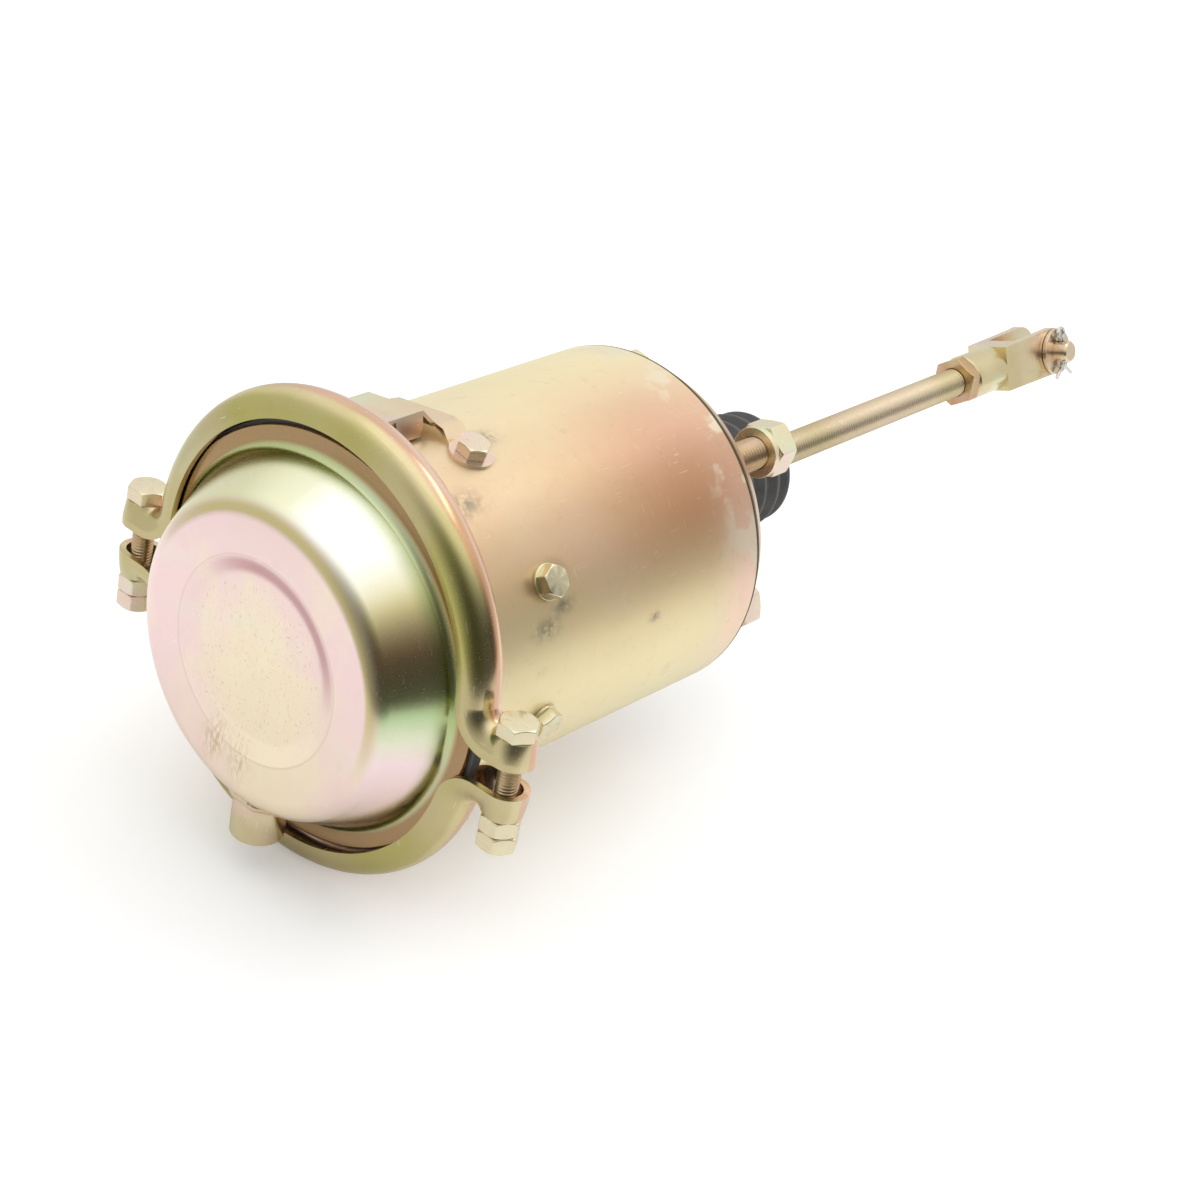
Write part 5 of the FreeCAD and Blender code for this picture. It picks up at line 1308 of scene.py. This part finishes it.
# %% Return spring's tree
def spring_tree(material):
    """A coil about Z from its named sizes."""
    tree = bpy.data.node_groups.new("return_spring_tree", "GeometryNodeTree")
    tree.is_modifier = True
    tree.interface.new_socket("Geometry", in_out="INPUT", socket_type="NodeSocketGeometry")
    names = ("Coil radius", "Wire radius", "Turns", "Length")
    sizes = {n: tree.interface.new_socket(n, in_out="INPUT", socket_type="NodeSocketFloat").identifier
             for n in names}
    tree.interface.new_socket("Geometry", in_out="OUTPUT", socket_type="NodeSocketGeometry")
    graph = Graph(tree)
    inlet = tree.nodes.new("NodeGroupInput")
    coil, wire, loops, length = (Wire(inlet.outputs[i]) for i in range(1, 5))
    spiral = graph.node("GeometryNodeCurveSpiral", None, {
        "Resolution": 48, "Rotations": loops, "Start Radius": coil, "End Radius": coil, "Height": length})
    section = graph.node("GeometryNodeCurvePrimitiveCircle", None, {"Resolution": 14, "Radius": wire})
    swept = graph.node("GeometryNodeCurveToMesh", None, {
        "Curve": spiral, "Profile Curve": section, "Fill Caps": True})
    real = graph.node("GeometryNodeRealizeInstances", None, [swept])
    coated = graph.node("GeometryNodeSetMaterial", None, {"Geometry": real, "Material": material})
    graph.node("NodeGroupOutput", None, [coated])
    return tree, sizes


print("spring tree is ready")

# %% Return spring
WIRE = 2.75 * mm
SPRING_END = 0.5 * mm
low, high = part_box("return_spring")
spring = add_object("return_spring_coil", bpy.data.meshes.new("return_spring_coil"))
modifier = spring.modifiers.new("coil", "NODES")
modifier.node_group, sizes = spring_tree(inner_steel)
values = {"Coil radius": 38 * mm, "Wire radius": WIRE, "Turns": 7.0,
          "Length": high.x - low.x - 2 * (WIRE + SPRING_END)}
for label, value in values.items():
    modifier[sizes[label]] = value
moved(lying(applied(spring)), low.x + WIRE + SPRING_END)
for face in spring.data.polygons:
    face.use_smooth = True
coat(spring, inner_steel)
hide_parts("return_spring")
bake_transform(spring)
print("return spring has", len(spring.data.polygons), "faces")

# %% [markdown]
# The last pieces are inside or small. They keep the frame's own shapes and only need their finish.

# %% Finishes for the frame pieces that stay
kept = dict.fromkeys(["spring_carrier", "carrier_nuts", "stud_plate", "rod_spigot", "push_plate",
                      "rod_plate_nut"], inner_steel)
kept |= {"boot_clip": bright_steel, "rod_bush": bush_plastic}
for node, material in kept.items():
    coat(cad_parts[node], material)
print("frame pieces kept:", ", ".join(kept))

# %% [markdown]
# The studio is a white table under a white tent. Metal shows whatever stands around it, so a grey wall
# curves round the table where only the plating sees it. It is darkest beside the camera, which gives the
# plated sheet its dark bands. Real photographers hang grey cards for this. The wall is made to be seen by
# reflections alone, so it casts no shadow and the picture keeps its white ground.

# %% Table
floor_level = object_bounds()[0].z - 0.5 * mm
floor_mesh = bpy.data.meshes.new("table")
REACH = 12
corners = [(x * REACH, y * REACH, floor_level) for x, y in ((-1, -1), (1, -1), (1, 1), (-1, 1))]
floor_mesh.from_pydata(corners, [], [(0, 1, 2, 3)])
table = add_object("table", floor_mesh)
table_finish = Finish("table_white")
seen = table_finish.node("ShaderNodeLightPath", output="Is Camera Ray")
floor_mesh.materials.append(table_finish.finish((0.90, 0.90, 0.90), 0.9, 0.0, **{
    "Emission Color": (1, 1, 1, 1), "Emission Strength": seen * 0.20}))
print("table at", round(floor_level, 4))

# %% Light of the grey wall
WALL_REACH = 0.58
WALL_TOP = 0.85
WALL_MIDDLE = 0.06
DARKEST_SIDE = -118


def wall_glow(finish):
    """Light of the wall: dark at eye level on one side, paler upwards and behind."""
    aside = (finish.y.math("ARCTAN2", finish.x - WALL_MIDDLE) - math.radians(DARKEST_SIDE)).math("COSINE")
    dark = aside.step(0.30, 0.86)
    upward = finish.z.step(0.10, 0.60)
    level = 0.80 - dark * 0.73
    return level + (1.02 - level) * upward


print("wall is darkest at", DARKEST_SIDE, "degrees")

# %% Grey wall for the reflections
wall_finish = Finish("grey_wall")
glow = wall_glow(wall_finish)
shade = wall_finish.node("ShaderNodeCombineColor", None, [glow, glow, glow * 0.98])
wall_finish.node("ShaderNodeOutputMaterial", None, {
    "Surface": wall_finish.node("ShaderNodeEmission", None, {"Color": shade})})
WALL_STEPS = 96
around = turns(WALL_STEPS)
wall_x = WALL_MIDDLE + WALL_REACH * np.cos(around)
wall_y = WALL_REACH * np.sin(around)
wall = skin("grey_wall", [np.stack([wall_x, wall_y, np.full(WALL_STEPS, level)], 1)
                          for level in (floor_level + mm, WALL_TOP)])
coat(wall, wall_finish.material)
wall.visible_camera = False
wall.visible_diffuse = False
wall.visible_shadow = False
wall.visible_transmission = False
print("wall stands", WALL_REACH, "m out")

# %% [markdown]
# The tent is the world: nearly white all round, and a little brighter overhead, which puts the broad
# highlight on the plated sheet. One large soft lamp gives the shadow its direction.

# %% Tent
world = bpy.data.worlds.new("tent")
bpy.context.scene.world = world
world.use_nodes = True
world.node_tree.nodes.clear()
tent = Graph(world.node_tree)
direction = tent.node("ShaderNodeTexCoord", output="Generated")
split = tent.node("ShaderNodeSeparateXYZ", None, [direction]).socket.node
height = Wire(split.outputs[2])
brightness = 0.92 + height.step(0.75, 0.95) * 0.35
lit = tent.node("ShaderNodeCombineColor", None, [brightness, brightness, brightness])
seen = tent.node("ShaderNodeLightPath", output="Is Camera Ray")
shade = tent.node("ShaderNodeMix", {"data_type": "RGBA"}, {0: seen, 6: lit, 7: (1, 1, 1, 1)}, output=2)
tent.node("ShaderNodeOutputWorld", None, [tent.node("ShaderNodeBackground", None, {"Color": shade})])
print("tent is up:", world.name)

# %% Lamp
AIM = Vector((-0.12, 0, 0))


def soft_lamp(name, direction, distance, width, depth, power):
    """A large area lamp that looks at the part."""
    lamp = bpy.data.lights.new(name, "AREA")
    lamp.shape = "RECTANGLE"
    lamp.size, lamp.size_y, lamp.energy = width, depth, power
    holder = bpy.data.objects.new(name, lamp)
    bpy.context.scene.collection.objects.link(holder)
    place = Vector(direction).normalized() * distance + AIM
    holder.location = place
    holder.rotation_euler = (AIM - place).to_track_quat("-Z", "Y").to_euler()
    holder.visible_camera = False


soft_lamp("key", (0.60, -0.30, 0.75), 1.6, 0.9, 0.8, 4)
bpy.context.scene.view_settings.view_transform = "Standard"
print("the tent is lit")
